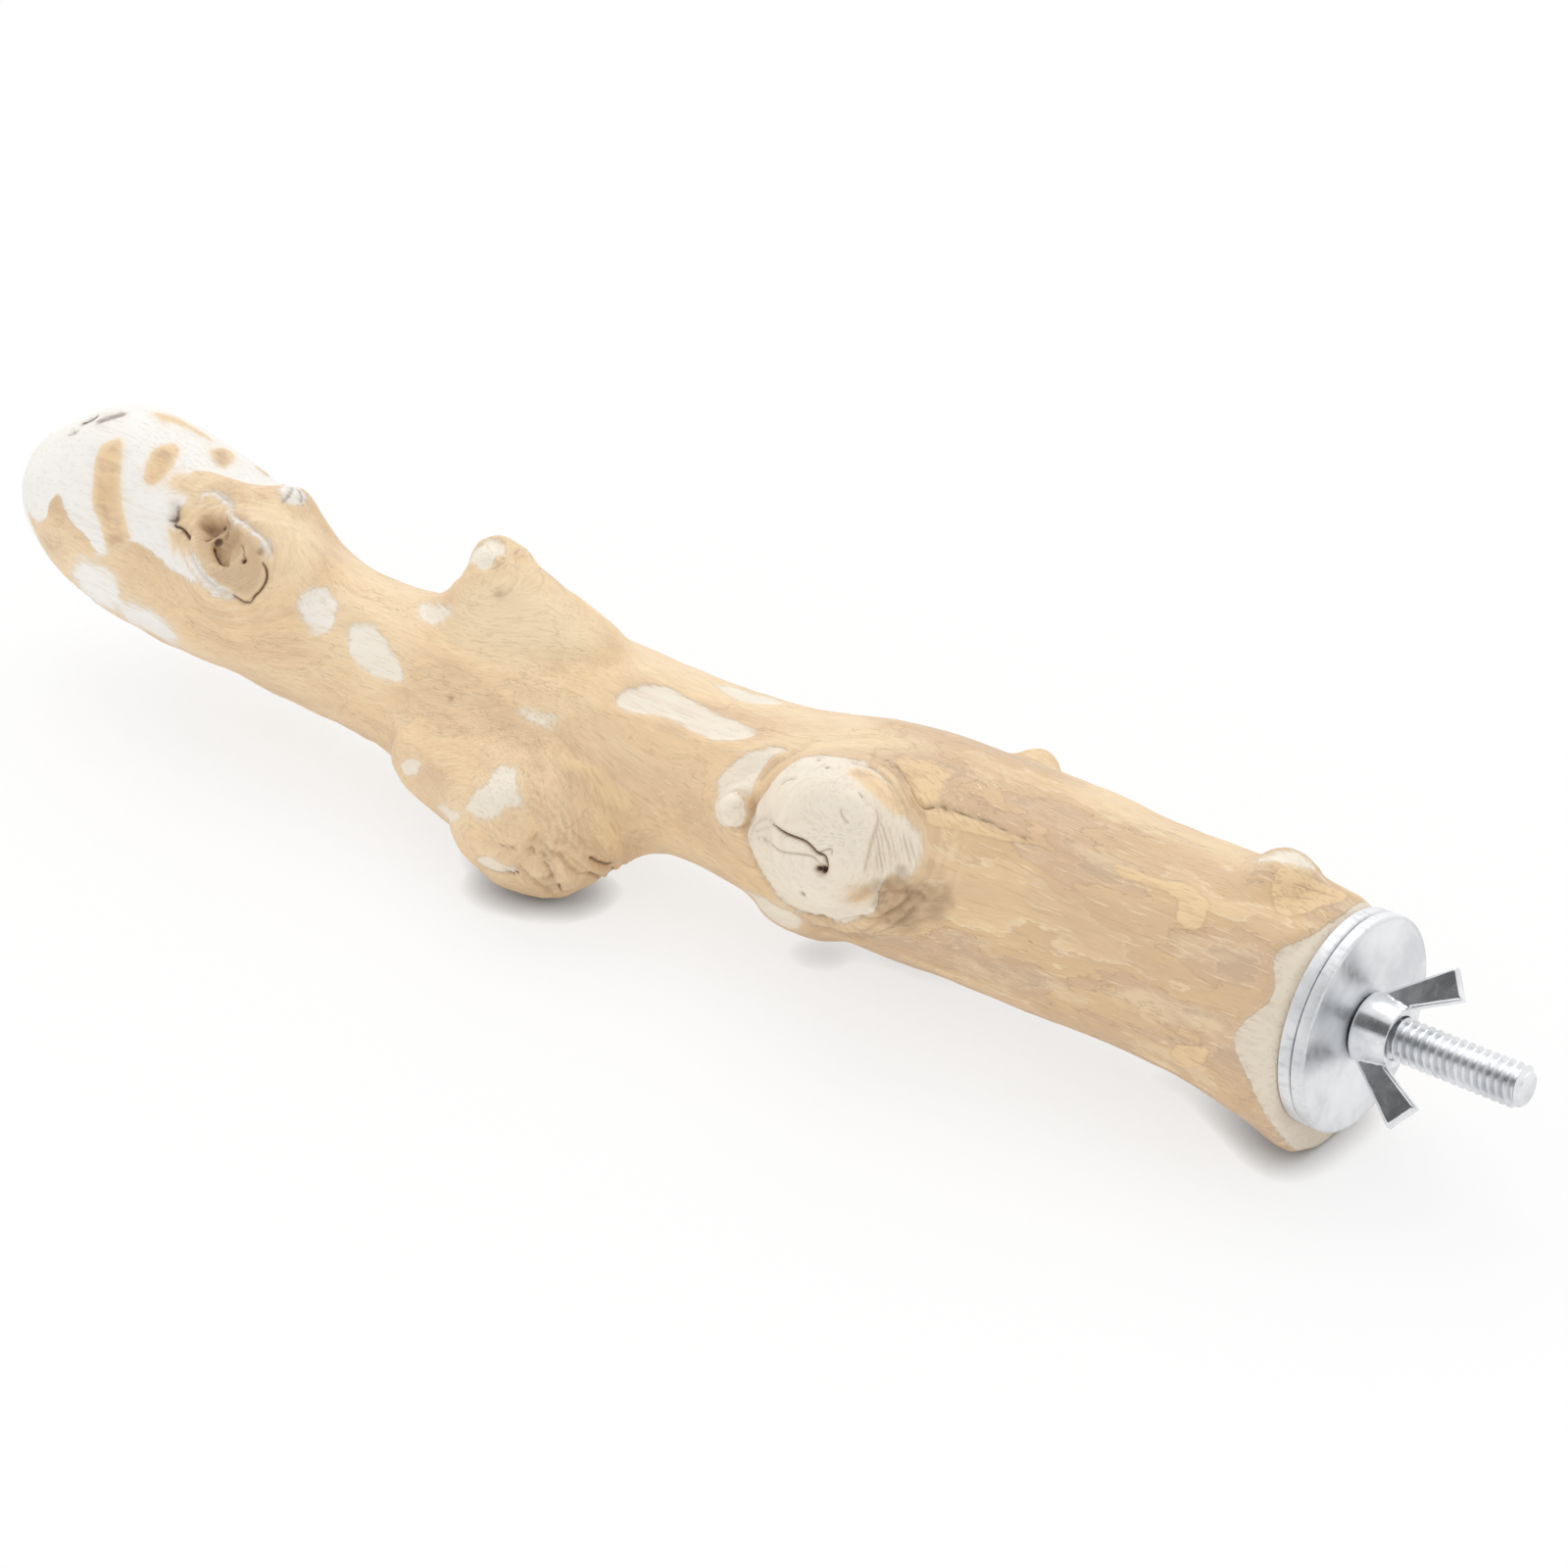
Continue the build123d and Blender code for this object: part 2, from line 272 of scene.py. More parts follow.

# Dark splits, and painted shadow lines between the foot's folds: half width and depth in millimetres,
# darkness of 0 to 1, then the line
SPLITS_AND_SHADOW_LINES = {
    "knot, main": (0.08, 0.8, 0.95, [
        (786, 840), (790, 844), (798, 850), (808, 854), (817, 857), (823, 861), (829, 868),
        (833, 871), (840, 873), (842, 878), (843, 885), (839, 889),
    ]),
    "knot, beak": (0.1, 0.45, 0.16, [
        (766, 857), (768, 845), (774, 837), (785, 835), (787, 842), (779, 846), (772, 848), (769, 853),
    ]),
    "knot, lower lip": (0.08, 0.45, 0.3, [
        (768, 855), (778, 855), (784, 861), (792, 869), (804, 871), (820, 872), (830, 875), (837, 884),
    ]),
    "knot, spur": (0.08, 0.3, 0.4, [(834, 870), (841, 867), (847, 866), (848, 871)]),
    "knot, dent lines": (0.12, 0.3, 0.2, [(797, 800), (803, 795), (812, 793)]),
    "knot, upper dent": (0.12, 0.3, 0.2, [(807, 785), (812, 780)]),
    "knot, dimple": (0.1, 0.25, 0.3, [(858, 825), (858, 832), (865, 840)]),
    "knot, far dimple": (0.1, 0.25, 0.3, [(877, 808), (881, 814)]),
    "decayed knot, right": (0.09, 0.8, 0.95, [
        (268, 574), (272, 580), (273, 589), (270, 597), (265, 604), (260, 608), (257, 614),
    ]),
    "decayed knot, lower right": (0.12, 0.6, 0.75, [(257, 614), (250, 614), (245, 611), (238, 607)]),
    "decayed knot, left": (0.16, 0.8, 0.9, [
        (176, 533), (179, 537), (184, 538), (188, 541), (192, 547), (195, 552),
    ]),
    "decayed knot, far left": (0.2, 0.7, 0.6, [(182, 515), (181, 524), (177, 530), (172, 530)]),
    "decayed knot, slit": (0.22, 0.9, 0.9, [(220, 558), (222, 563), (226, 570), (231, 576)]),
    "decayed knot, tongue": (0.1, 0.3, 0.4, [(210, 551), (213, 546), (218, 543), (222, 547)]),
    "decayed knot, panel": (0.12, 0.5, 0.35, [(232, 528), (233, 541), (230, 552)]),
    "decayed knot, pore groove": (0.14, 0.5, 0.3, [(245, 556), (246, 562), (248, 568)]),
    "swirl, first": (0.2, 0.5, 0.22, [
        (822, 932), (845, 936), (872, 936), (899, 933), (920, 922), (932, 908),
    ]),
    "swirl, second": (0.2, 0.5, 0.2, [(835, 945), (862, 949), (892, 948), (918, 939), (938, 922)]),
    "swirl, third": (0.2, 0.4, 0.12, [(893, 912), (912, 908), (934, 908), (950, 916)]),
    "collar, top": (0.15, 0.4, 0.15, [(775, 800), (788, 784), (806, 771), (824, 765)]),
    "collar, saddle": (0.15, 0.3, 0.14, [(868, 776), (886, 781), (902, 794), (915, 812), (926, 832)]),
    "collar, outside": (0.15, 0.3, 0.12, [(890, 772), (908, 782), (921, 800), (931, 822), (940, 838)]),
    "tip, upper": (0.4, 0.5, 0.95, [(84, 431), (91, 428), (99, 424)]),
    "tip, behind": (0.7, 0.4, 0.5, [(99, 429), (112, 425), (128, 421)]),
    "tip, lower": (0.12, 0.3, 0.5, [(69, 443), (79, 439)]),
    "foot, crack": (0.13, 0.6, 0.7, [(600, 873), (607, 877), (617, 879), (622, 878)]),
    "foot, right edge": (0.12, 0.5, 0.5, [(622, 881), (624, 888), (623, 893)]),
    "foot, left slit": (0.13, 0.5, 0.8, [(519, 890), (524, 893)]),
    "foot, right slit": (0.14, 0.6, 0.8, [(571, 904), (570, 908), (579, 911)]),
    # Painted shadow lines between the foot's folds, here and in the next entry
    "foot, ridge": (0.25, 0.6, 0.2, [(556, 861), (572, 876), (588, 889), (606, 893), (622, 894)]),
    "foot, crease": (0.35, 0.8, 0.15, [(530, 881), (541, 897), (553, 908), (566, 913)]),
    "foot, lump groove": (0.25, 0.7, 0.2, [(553, 880), (561, 886), (564, 893), (561, 899)]),
    "foot, wrinkle": (0.15, 0.25, 0.1, [(573, 836), (587, 850), (600, 864)]),
    "foot, next wrinkle": (0.15, 0.2, 0.08, [(566, 842), (579, 856), (590, 868)]),
    "stub, shadow line": (0.1, 0.15, 0.15, [(501, 582), (510, 578), (516, 574)]),
    "stub, mark": (0.1, 0.12, 0.15, [(502, 602), (509, 609), (516, 607), (523, 601)]),
    "end flake, middle": (0.07, 0.12, 0.35, [(1322, 904), (1336, 909), (1352, 914), (1364, 917)]),
    "end flake, low": (0.06, 0.1, 0.2, [(1310, 915), (1326, 917), (1342, 921)]),
    "wrinkled bump, left": (0.2, 0.5, 0.4, [(297, 501), (295, 510), (287, 516)]),
    "wrinkled bump, right": (0.2, 0.5, 0.45, [(303, 503), (306, 511), (303, 517)]),
    "bark crack, knot": (0.07, 0.25, 0.65, [
        (904, 776), (919, 790), (929, 806), (934, 819), (943, 827), (957, 823), (985, 832), (1019, 844),
        (1030, 852), (1047, 857),
    ]),
}

# Edges of layers, with a painted shadow under each lip: how far the layer stands up, then the line, with
# the higher side on its left
FOLDS = {
    "cap lip": (0.8, [
        (838, 767), (812, 776), (790, 797), (769, 828), (762, 849), (768, 868), (780, 893),
        (797, 915), (820, 930), (858, 937), (885, 932),
    ]),
    "collar, outer": (0.5, [
        (987, 838), (955, 830), (943, 829), (934, 819), (930, 807), (920, 789), (907, 777),
    ]),
    "collar, inner": (0.35, [(930, 830), (920, 812), (911, 793), (893, 780)]),
    "comb edge": (0.5, [(880, 894), (886, 867), (891, 851), (897, 835), (891, 823)]),
    "swirl, upper": (0.55, [(810, 930), (829, 940), (856, 945), (879, 943), (895, 936), (908, 926)]),
    "swirl, lower": (0.55, [(824, 942), (856, 950), (884, 952), (907, 948), (922, 938)]),
    "decayed knot, right rim": (0.6, [
        (277, 571), (275, 559), (266, 548), (256, 540), (245, 532), (233, 523),
    ]),
    "decayed knot, lower rim": (0.5, [
        (239, 609), (228, 605), (216, 598), (205, 588), (195, 573), (190, 557),
    ]),
    "decayed knot, arch": (0.5, [(237, 522), (233, 514), (224, 507), (214, 503), (206, 508)]),
    "foot, broken edge": (0.9, [(581, 872), (594, 881), (608, 889), (619, 896), (627, 898)]),
    "foot ledge": (0.5, [(484, 878), (500, 885), (514, 889), (528, 890)]),
    "bark's end": (0.5, [
        (1318, 1172), (1293, 1143), (1277, 1106), (1255, 1062), (1268, 1043), (1305, 1018),
        (1297, 970), (1330, 962), (1387, 921),
    ]),
}

# Round hollows: radius and depth in millimetres, soil and darkness of 0 to 1, then the centre;
# a depth below 0 is a bump
DENTS = {
    "knot hole": (0.75, 1.2, 0.8, 1.0, (838, 888)),
    "knot hole, left": (0.5, 0.8, 0.8, 1.0, (833, 887)),
    "knot pore": (0.3, 0.3, 0.4, 0.5, (835, 774)),
    "knot pore, right": (0.3, 0.3, 0.4, 0.4, (844, 782)),
    "knot pore, low": (0.25, 0.2, 0.3, 0.3, (839, 779)),
    "knot triangle": (0.5, 0.3, 0.5, 0.35, (818, 914)),
    "round mark": (1.1, 0.35, 0.35, 0.0, (962, 929)),
    "decayed knot, hole": (0.75, 1.0, 0.7, 0.75, (223, 553)),
    "decayed knot, pore": (0.6, 1.0, 0.6, 0.85, (248, 571)),
    "decayed knot, eyelet": (0.7, 0.6, 0.5, 0.2, (266, 563)),
    "decayed knot, purple": (0.9, 0.8, 0.7, 0.3, (180, 529)),
    "foot hole": (0.4, 0.7, 0.6, 0.95, (528, 889)),
    "foot bump": (1.1, -0.8, 0.0, 0.0, (537, 851)),
    "foot lump": (1.9, -0.9, 0.0, 0.0, (551, 890)),
    "foot lump, right": (1.5, -0.6, 0.0, 0.0, (578, 893)),
    "foot pit": (0.7, 0.5, 0.35, 0.1, (543, 868)),
    "foot pit, right": (0.6, 0.5, 0.3, 0.1, (556, 871)),
    "foot pit, left": (0.5, 0.5, 0.4, 0.2, (513, 862)),
    "foot pit, upper": (0.4, 0.4, 0.35, 0.15, (523, 864)),
    "stub mark": (0.7, 0.15, 0.35, 0.05, (510, 606)),
    "spot below the stub": (0.6, 0.25, 0.45, 0.1, (461, 713)),
    "wrinkled bump": (2.6, -1.7, 0.0, 0.0, (298, 510)),
}

# Sunk faces: depth and width of the wall in millimetres, soil of 0 to 1, then the outline
HOLLOWS = {
    "decayed face": (0.7, 1.2, 0.34, [
        (201, 530), (207, 524), (216, 521), (226, 522), (234, 528), (246, 538), (257, 547),
        (266, 557), (270, 568), (271, 582), (270, 597), (264, 605), (255, 612), (246, 609),
        (234, 603), (222, 596), (210, 587), (202, 575), (198, 563), (197, 549), (198, 538),
    ]),
    "decayed hollow": (2.2, 1.0, 0.85, [
        (201, 532), (207, 527), (215, 525), (223, 527), (229, 532), (231, 538), (229, 545),
        (225, 549), (216, 552), (209, 552), (205, 549), (203, 541),
    ]),
    "decayed groove": (0.6, 0.5, 0.05, [
        (219, 556), (225, 555), (230, 562), (233, 572), (231, 577), (226, 570), (221, 563),
    ]),
}

# Brown that has soaked in, with painted shade on the big knot's cap and beside the bud, and brown with
# painted shade under the cap: its share of 0 to 1, then the outline
STAINS_AND_SHADE = {
    # Painted shade where the cap turns from the light
    "cap": (0.07, [(770, 850), (800, 800), (850, 775), (900, 810), (930, 870), (880, 930), (800, 905)]),
    # Brown swirl folds with painted shade under the cap
    "under the cap": (0.6, [
        (882, 897), (915, 889), (945, 890), (966, 898), (976, 920), (962, 940), (934, 948),
        (905, 942), (887, 925),
    ]),
    "spot on the knot": (0.3, [(858, 914), (872, 906), (888, 906), (894, 914), (886, 922), (868, 925)]),
    "decayed knot": (0.1, [
        (196, 508), (225, 496), (262, 530), (284, 560), (276, 600), (250, 618), (215, 606), (190, 570),
        (186, 530),
    ]),
    "right of the cap": (0.3, [(946, 872), (962, 884), (968, 902), (950, 905), (940, 895)]),
    # Painted shade on the bud's right side
    "beside the bud": (0.2, [(758, 812), (772, 804), (774, 818), (766, 832), (762, 846), (760, 830)]),
    "over the cap": (0.16, [(768, 790), (790, 776), (812, 766), (806, 774), (788, 788), (772, 806)]),
    "foot": (0.12, [
        (505, 872), (540, 842), (590, 852), (632, 880), (622, 903), (580, 912), (530, 905),
    ]),
    "decayed knot, left": (0.25, [(172, 514), (186, 516), (196, 540), (196, 556), (180, 548)]),
    "fuzzy spot": (0.4, [(216, 459), (228, 457), (238, 464), (234, 473), (226, 476), (217, 467)]),
    "tip, left notch": (0.3, [(58, 505), (64, 516), (68, 526), (56, 530), (48, 518)]),
}

# Pale places: thin bark, and painted highlight along the limb's top, on the stub's flank and on the
# foot's ledge; its share of 0 to 1, then the outline
PALES_AND_HIGHLIGHTS = {
    # Painted light on the shaded flank below the stub
    "below the stub": (1.0, [
        (470, 598), (500, 588), (545, 592), (590, 625), (620, 655), (590, 672), (540, 668),
        (490, 660), (455, 640),
    ]),
    "stub, right": (0.6, [
        (520, 562), (540, 572), (575, 605), (610, 640), (580, 640), (545, 610), (520, 585),
    ]),
    # Painted highlight along the lit top
    "top of the middle": (0.8, [
        (630, 648), (700, 680), (780, 705), (860, 728), (905, 742), (860, 746), (780, 728),
        (700, 704), (640, 680),
    ]),
    # Painted highlight along the lit top
    "top of the near part": (0.7, [
        (1085, 785), (1180, 820), (1262, 860), (1292, 882), (1262, 884), (1180, 850), (1095, 815),
    ]),
    # Painted highlight along the lit top
    "over the knot": (0.6, [(775, 756), (860, 735), (930, 752), (962, 772), (900, 768), (800, 774)]),
    # Painted highlight along the lit top
    "neck, top": (0.8, [(345, 552), (400, 585), (440, 605), (430, 622), (390, 612), (350, 588)]),
    "neck": (0.5, [(300, 598), (350, 593), (420, 622), (432, 660), (404, 704), (350, 684), (308, 654)]),
    "right of the decayed knot": (0.9, [
        (246, 506), (285, 512), (320, 530), (330, 562), (312, 600), (284, 600), (282, 560), (266, 536),
    ]),
    "tip, low": (0.7, [
        (60, 545), (90, 568), (125, 598), (180, 642), (230, 678), (190, 672), (130, 636), (85, 604),
        (60, 572),
    ]),
    # Painted highlight on the foot's ledge
    "foot": (0.4, [(480, 860), (520, 866), (560, 880), (600, 892), (615, 905), (570, 912), (510, 895)]),
}

# Rolls of wood: half width and height in millimetres, then the line
ROLLS = {
    "over the bud": (2.0, 0.9, [(738, 806), (746, 790), (762, 776), (784, 769), (803, 770)]),
    "under the cap": (1.2, 0.9, [(850, 942), (880, 945), (905, 938), (925, 925), (938, 908)]),
    "under the cap, outer": (1.3, 0.8, [(858, 955), (890, 957), (920, 948), (945, 930), (958, 908)]),
    "right of the decayed knot": (1.6, 0.5, [(262, 520), (282, 540), (290, 560), (290, 585)]),
    "over the decayed knot": (1.5, 0.5, [(196, 512), (206, 500), (222, 494), (240, 500), (256, 514)]),
}

# Seeds of the first lumps and the first ripples; the others count on from them
FIRST_LUMP_SEED = 20
FIRST_RIPPLE_SEED = 40

# Lumpy skin: reach, size of a lump and height in millimetres, then the centre
LUMPS = {
    "decayed knot": (8.0, 2.6, 0.45, (236, 565)),
    "wrinkled bump": (4.5, 2.0, 0.5, (298, 510)),
    "foot": (9.0, 3.4, 1.5, (556, 888)),
    "foot, small": (8.0, 1.4, 0.75, (556, 878)),
    "stub": (5.0, 4.0, 0.25, (515, 562)),
    "end bump": (5.0, 3.0, 0.2, (1330, 910)),
}

# Rings of wood round a knot: inner and outer reach, spacing and height in millimetres, then the
# centre
RIPPLES = {
    "foot": (1.6, 9.0, 1.05, 0.1, (536, 850)),
    "decayed knot": (7.5, 12.5, 1.5, 0.16, (238, 562)),
    "big knot": (14.5, 19.0, 1.7, 0.12, (850, 850)),
}

# Fibres combed down the big knot's flank, and how far apart they are in millimetres
COMB_OUTLINE = [
    (892, 824), (905, 835), (930, 848), (946, 865), (940, 893), (905, 894), (881, 893), (888, 858),
]
COMB_CENTRE = (905, 865)
COMB_SPACING = 0.68

# The bud beside the big knot, with the crease round it
BUD_CENTRE = (745, 826)
BUD_RADIUS = 3.5

# Knots that the grain flows round: centre, then radius in millimetres; how far above a knot the
# grain bends, and the least distance from its middle, as shares of the radius
GRAIN_KNOTS = {
    "big knot": ((850, 850), 13.0),
    "bud": ((745, 826), 4.0),
    "decayed knot": ((238, 560), 9.0),
    "stub": ((512, 570), 8.0),
    "foot": ((545, 860), 14.0),
}
FLOW_HEIGHT = 1.6
FLOW_CORE = 0.3

# Places that grow: radius, rise along the skin and lift straight up in millimetres, then the centre
SWELLS = {
    "cap, left": (8.0, 1.3, 0.0, (786, 826)),
    "cap, upper left": (8.0, 1.6, 0.0, (803, 802)),
    "cap, top": (8.0, 1.6, 0.0, (828, 784)),
    "cap, upper right": (8.0, 0.8, 0.0, (856, 780)),
    "stub, right flank": (8.0, 0.6, 0.0, (556, 588)),
    "stub, top": (8.0, 0.4, -3.4, (514, 552)),
    "tip, top": (18.0, 2.9, 0.0, (130, 436)),
}
SETTLE_ROUNDS = 60

# Creases to fill: centre, then radius in millimetres; the share of the radius that is filled up
CREASES = {
    "between stub and foot": ((515, 742), 25.0),
    "right of the foot": ((612, 812), 12.0),
    "left of the foot": ((440, 748), 9.0),
    "foot, right side": ((620, 858), 11.0),
    "stub, right side": ((590, 640), 10.0),
}
CREASE_ROUNDS = 900
CREASE_CORE = 0.6

# Places whose skin has finer quads: centre, then radius in millimetres; the finest skin reaches
# this far past splits, dents and the comb
FINE_SKIN = {
    "big knot": ((850, 855), 16.0),
    "bud": ((745, 826), 5.0),
    "decayed knot": ((232, 560), 12.0),
    "foot": ((560, 880), 12.0),
    "stub": ((512, 570), 7.0),
    "end flake": ((1330, 910), 7.0),
}
SPLIT_MARGIN = 0.55
DENT_MARGIN = 0.6
WIDEST_DENT = 1.0
COMB_MARGIN = 0.5

# Rounds of softening and of giving back, for the limb's growths and for the cast nut
BLEND_ROUNDS = (60, 30)
CAST_ROUNDS = (6, 4)

# Where the limb's skin starts to move freely and where it does, from the bolt's axis and from the
# sawn face, in millimetres
FREE_RADII = (8.0, 11.0)
FREE_DEPTHS = (0.3, 4.0)

# Noises: share or height, wavelengths along and across the grain in millimetres, then the seed
SEED_STRIDE = 17.31
LAYER_WAVES = ((0.75, (26.0, 7.5), 1), (0.5, (10.0, 3.2), 2), (0.2, (4.5, 1.7), 3))
PATCH_WAVES = ((1.0, (30.0, 8.0), 4), (0.45, (11.0, 3.0), 13))
FINGER_WAVES = ((26.0, (38.0, 6.0), 5), (8.0, (10.0, 2.5), 12))
ISLAND_WAVES = ((1.0, (20.0, 4.5), 16),)
SWELL_WAVES = ((1.0, (30.0, 9.0), 6),)
SKIN_WAVES = ((0.16, (9.0, 3.0), 7), (0.05, (7.0, 1.3), 8))

# How far skin faces away from the photograph's camera, as the cosine of the angle, where a side
# starts and where it has started
HIDDEN_SIDE = (-0.04, 0.16)
EDGE_ON_SIDE = (-0.22, 0.0)
DEEP_BACK = (0.15, 0.4)
TOP_SIDE = (0.3, 0.9)

# Bare patches of the hidden side: the noise's level at their edge, their slope, and how far they
# are pressed back where the photograph shows the skin
PATCH_LEVEL = 0.42
PATCH_SLOPE = 9.0
PATCH_HOLD = 12.0

# The tip's bare wood on the hidden side: its reach, how much more it has on top, the share of its
# fingers at the rim, its islands of bark and the bark round the decayed knot, in millimetres
TIP_PEEL = 34.0
TOP_PEEL = 34.0
RIM_FINGERS = 0.2
ISLAND_EDGE = (0.2, 0.45)
ISLAND_DEPTH = 40.0
BARKED_ROUND_DECAY = (-14.0, -10.0)
BARKED_DEPTH = 60.0
PEEL_HOLD = 30.0

# The pale ring at the sawn end, and the edges and rises of patches and layers, in millimetres
RING_SLOPE = 1.4
RING_SOIL = 0.2
RING_EDGE = (-1.0, 1.0)
PATCH_EDGE = (-0.4, 0.4)
GOLD_RISE = 0.15
TAN_RISE = 0.1

# Heights of the bark's layers at which one layer gives way to the next, half of the height over
# which it does, and where these heights lie on the ramp of colours
LAYER_EDGES = (-0.24, 0.03, 0.42)
LAYER_SLOPE = 0.035
RAMP_SCALE = 0.7
RAMP_MIDDLE = 0.5

# Where the bark starts to be paler and where it is, along the limb in millimetres; partly thinner bark,
# partly painted light on the brighter far part
PALE_ENDS = (-55.0, -120.0)

# Where bare wood starts to be bleached and where it is, along the limb in millimetres
BLEACH_ENDS = (-150.0, -215.0)

# Height of the finest relief, and how wide the sheared rim's edge is, in millimetres; the tears'
# scale on each axis
WOOD_RELIEF = 0.16
ZINC_RELIEF = 0.05
SHEAR_FADE = 0.3
SHEAR_TEARS = (400.0, 1500.0, 1500.0)

# Distances in metres within which points are merged
MERGE_REACH = 1e-6
SPUN_MERGE_REACH = 1e-7

# Shares of a washer's radius that lies flat and of the lag's radius at its point, and how many
# times finer than the other hardware a washer is
WASHER_FLAT = 0.7
LAG_TIP = 0.15
WASHER_FINENESS = 4

# The table's contact shadow, the shape of the studio's unlit side, and the camera's near limit
CONTACT_POWER = 1.1
CONTACT_SAMPLES = 4
DARK_NARROWING = (0.35, 1.0, 1.0)
DARK_EDGE = (0.86, 0.96)
CLIP_START = 0.01
WHITE = (1.0, 1.0, 1.0, 1.0)


class PerchWood(PropertyGroup):
    """Sizes and colours of the limb."""

    skin_quad: length("Skin quad", "Side of the quads that the limb's skin is made of", 0.78)
    wave_height: length("Wave height", "How far the peeled surface swells and sinks", 0.35)
    layer_step: length("Layer step", "Height of the step from one bark layer to the next", 0.16)
    bare_depth: length("Bare depth", "How far bare wood lies below the bark", 0.2)
    bark_grey: colour("Grey bark", "The lowest, greyish layer of inner bark", (208, 180, 151))
    bark_rose: colour("Rose bark", "The middle layer of inner bark", (219, 187, 152))
    bark_tan: colour("Tan bark", "The upper layer of inner bark", (228, 195, 151))
    bark_gold: colour("Golden bark", "Flakes of the outermost bark", (242, 210, 164))
    # Pale bark towards the tip is partly painted light: the far part is lit more brightly
    bark_pale: colour("Pale bark", "Bark towards the tip, where it is thinnest", (253, 222, 178))
    # Light bark also paints highlights: on layer edges, along the lit top, on the stub's flank and on
    # the foot's ledge
    bark_light: colour("Light bark", "Edges and dashes where the bark is thin", (250, 226, 188))
    bark_dark: colour("Dark bark", "Scores and edges where the bark is thick", (196, 163, 127))
    bare_wood: colour("Bare wood", "Wood without bark", (248, 237, 218))
    bleached_wood: colour("Bleached wood", "Wood that the sun has bleached, at the tip", (252, 249, 243))
    # Soil is also the painted shade under layer lips, in the lumps' valleys, on and under the big knot
    # and beside the bud
    soil_and_shade: colour("Soil", "Brown that has gathered in folds and round splits", (158, 129, 98))
    # Split brown also darkens the painted shadow lines between the foot's folds
    split_brown: colour("Split brown", "The depth of splits and holes", (80, 54, 37))


class PerchZinc(PropertyGroup):
    """Sizes and finish of the hardware."""

    thread_pitch: length("Thread pitch", "Rise of the machine thread in one turn", 1.27)
    thread_depth: length("Thread depth", "Depth of the machine thread", 0.7)
    thread_length: length("Thread length", "Length of the machine thread", 31.75)
    thread_lead: length("Thread lead", "Width of the chamfer at the machine thread's end", 0.8)
    lag_pitch: length("Lag pitch", "Rise of the lag thread in one turn", 2.5)
    lag_depth: length("Lag depth", "Depth of the lag thread", 0.75)
    lag_radius: length("Lag radius", "Radius of the lag thread's crest", 3.0)
    lag_point: length("Lag point", "Length of the lag thread's point", 9.0)
    washer_hole: length("Washer hole", "Radius of a washer's hole", 3.575)
    rim_round: length("Rim rounding", "Radius of a washer's rim where the punch drew it down", 0.4)
    washer_dish: length("Washer dish", "How far a washer's back lifts towards its rim", 0.16)
    washer_seat: length("Washer seat", "Gap under a washer, so that it turns freely", 0.02)
    rim_burr: length("Rim burr", "Radius of a washer's rim where the punch left it", 0.25)
    nut_quad: length("Nut quad", "Side of the quads that the wing nut's skin is made of", 0.16)
    turn_steps: IntProperty(
        name="Turn steps", description="Faces round one turn of the hardware", default=48, min=12
    )
    zinc: colour("Zinc", "The plating's colour", (238, 239, 241))
    dull_zinc: colour("Dull zinc", "The plating where it has clouded", (214, 216, 219))
    dark_zinc: colour("Dark zinc", "The plating in the sheared rim's tears", (150, 152, 155))


class PerchStage(PropertyGroup):
    """Camera, light and floor."""

    camera_place: FloatVectorProperty(
        name="Camera place",
        description="Where the camera stands",
        default=(0.2926, -0.4944, 0.3645),
        subtype="TRANSLATION",
        unit="LENGTH",
    )
    azimuth: FloatProperty(
        name="Azimuth",
        description="The camera's turn about the perch from the front",
        default=math.radians(38.455),
        subtype="ANGLE",
    )
    elevation: FloatProperty(
        name="Elevation",
        description="The camera's height above the horizon",
        default=math.radians(29.881),
        subtype="ANGLE",
    )
    lens: FloatProperty(
        name="Lens", description="Focal length in millimetres", default=112.5, unit="CAMERA"
    )
    sensor: FloatProperty(
        name="Sensor", description="Sensor width in millimetres", default=36.0, unit="CAMERA"
    )
    floor_side: length("Floor side", "Side of the square floor", 8000.0)
    floor_colour: colour("Floor", "The table's colour", (252, 252, 252))
    floor_white: FloatProperty(
        name="Floor white",
        description="How much of the table's look is white, whatever light falls on it",
        default=0.72,
        min=0.0,
        max=1.0,
        subtype="FACTOR",
    )
    contact_reach: length("Contact reach", "How near to the perch the table darkens", 5.0)
    dark_way: FloatVectorProperty(
        name="Dark way",
        description="The way from the perch to the studio's unlit side, which metal mirrors",
        default=(0.0, -0.7, 0.71),
        subtype="DIRECTION",
    )
    dark_level: FloatProperty(
        name="Dark level", description="How light the unlit side is", default=0.14, min=0.0
    )
    dome_level: FloatProperty(
        name="Dome level", description="Light from all round", default=0.85, min=0.0
    )
    lamp_level: FloatProperty(
        name="Lamp level", description="Light of the soft lamp above", default=0.7, min=0.0
    )
    lamp_spread: FloatProperty(
        name="Lamp spread",
        description="How wide the lamp looks from the perch",
        default=math.radians(50.0),
        subtype="ANGLE",
    )
    lamp_from: FloatVectorProperty(
        name="Lamp from",
        description="The way from the perch to the lamp",
        default=(-0.5, 0.45, 0.9),
        subtype="DIRECTION",
    )


# Camera

def camera_axes(stage):
    """The camera's right, up and backward ways."""
    level = math.cos(stage.elevation)
    back = Vector((
        math.sin(stage.azimuth) * level, -math.cos(stage.azimuth) * level, math.sin(stage.elevation)
    ))
    right = Vector((math.cos(stage.azimuth), math.sin(stage.azimuth), 0.0))
    return right, back.cross(right), back


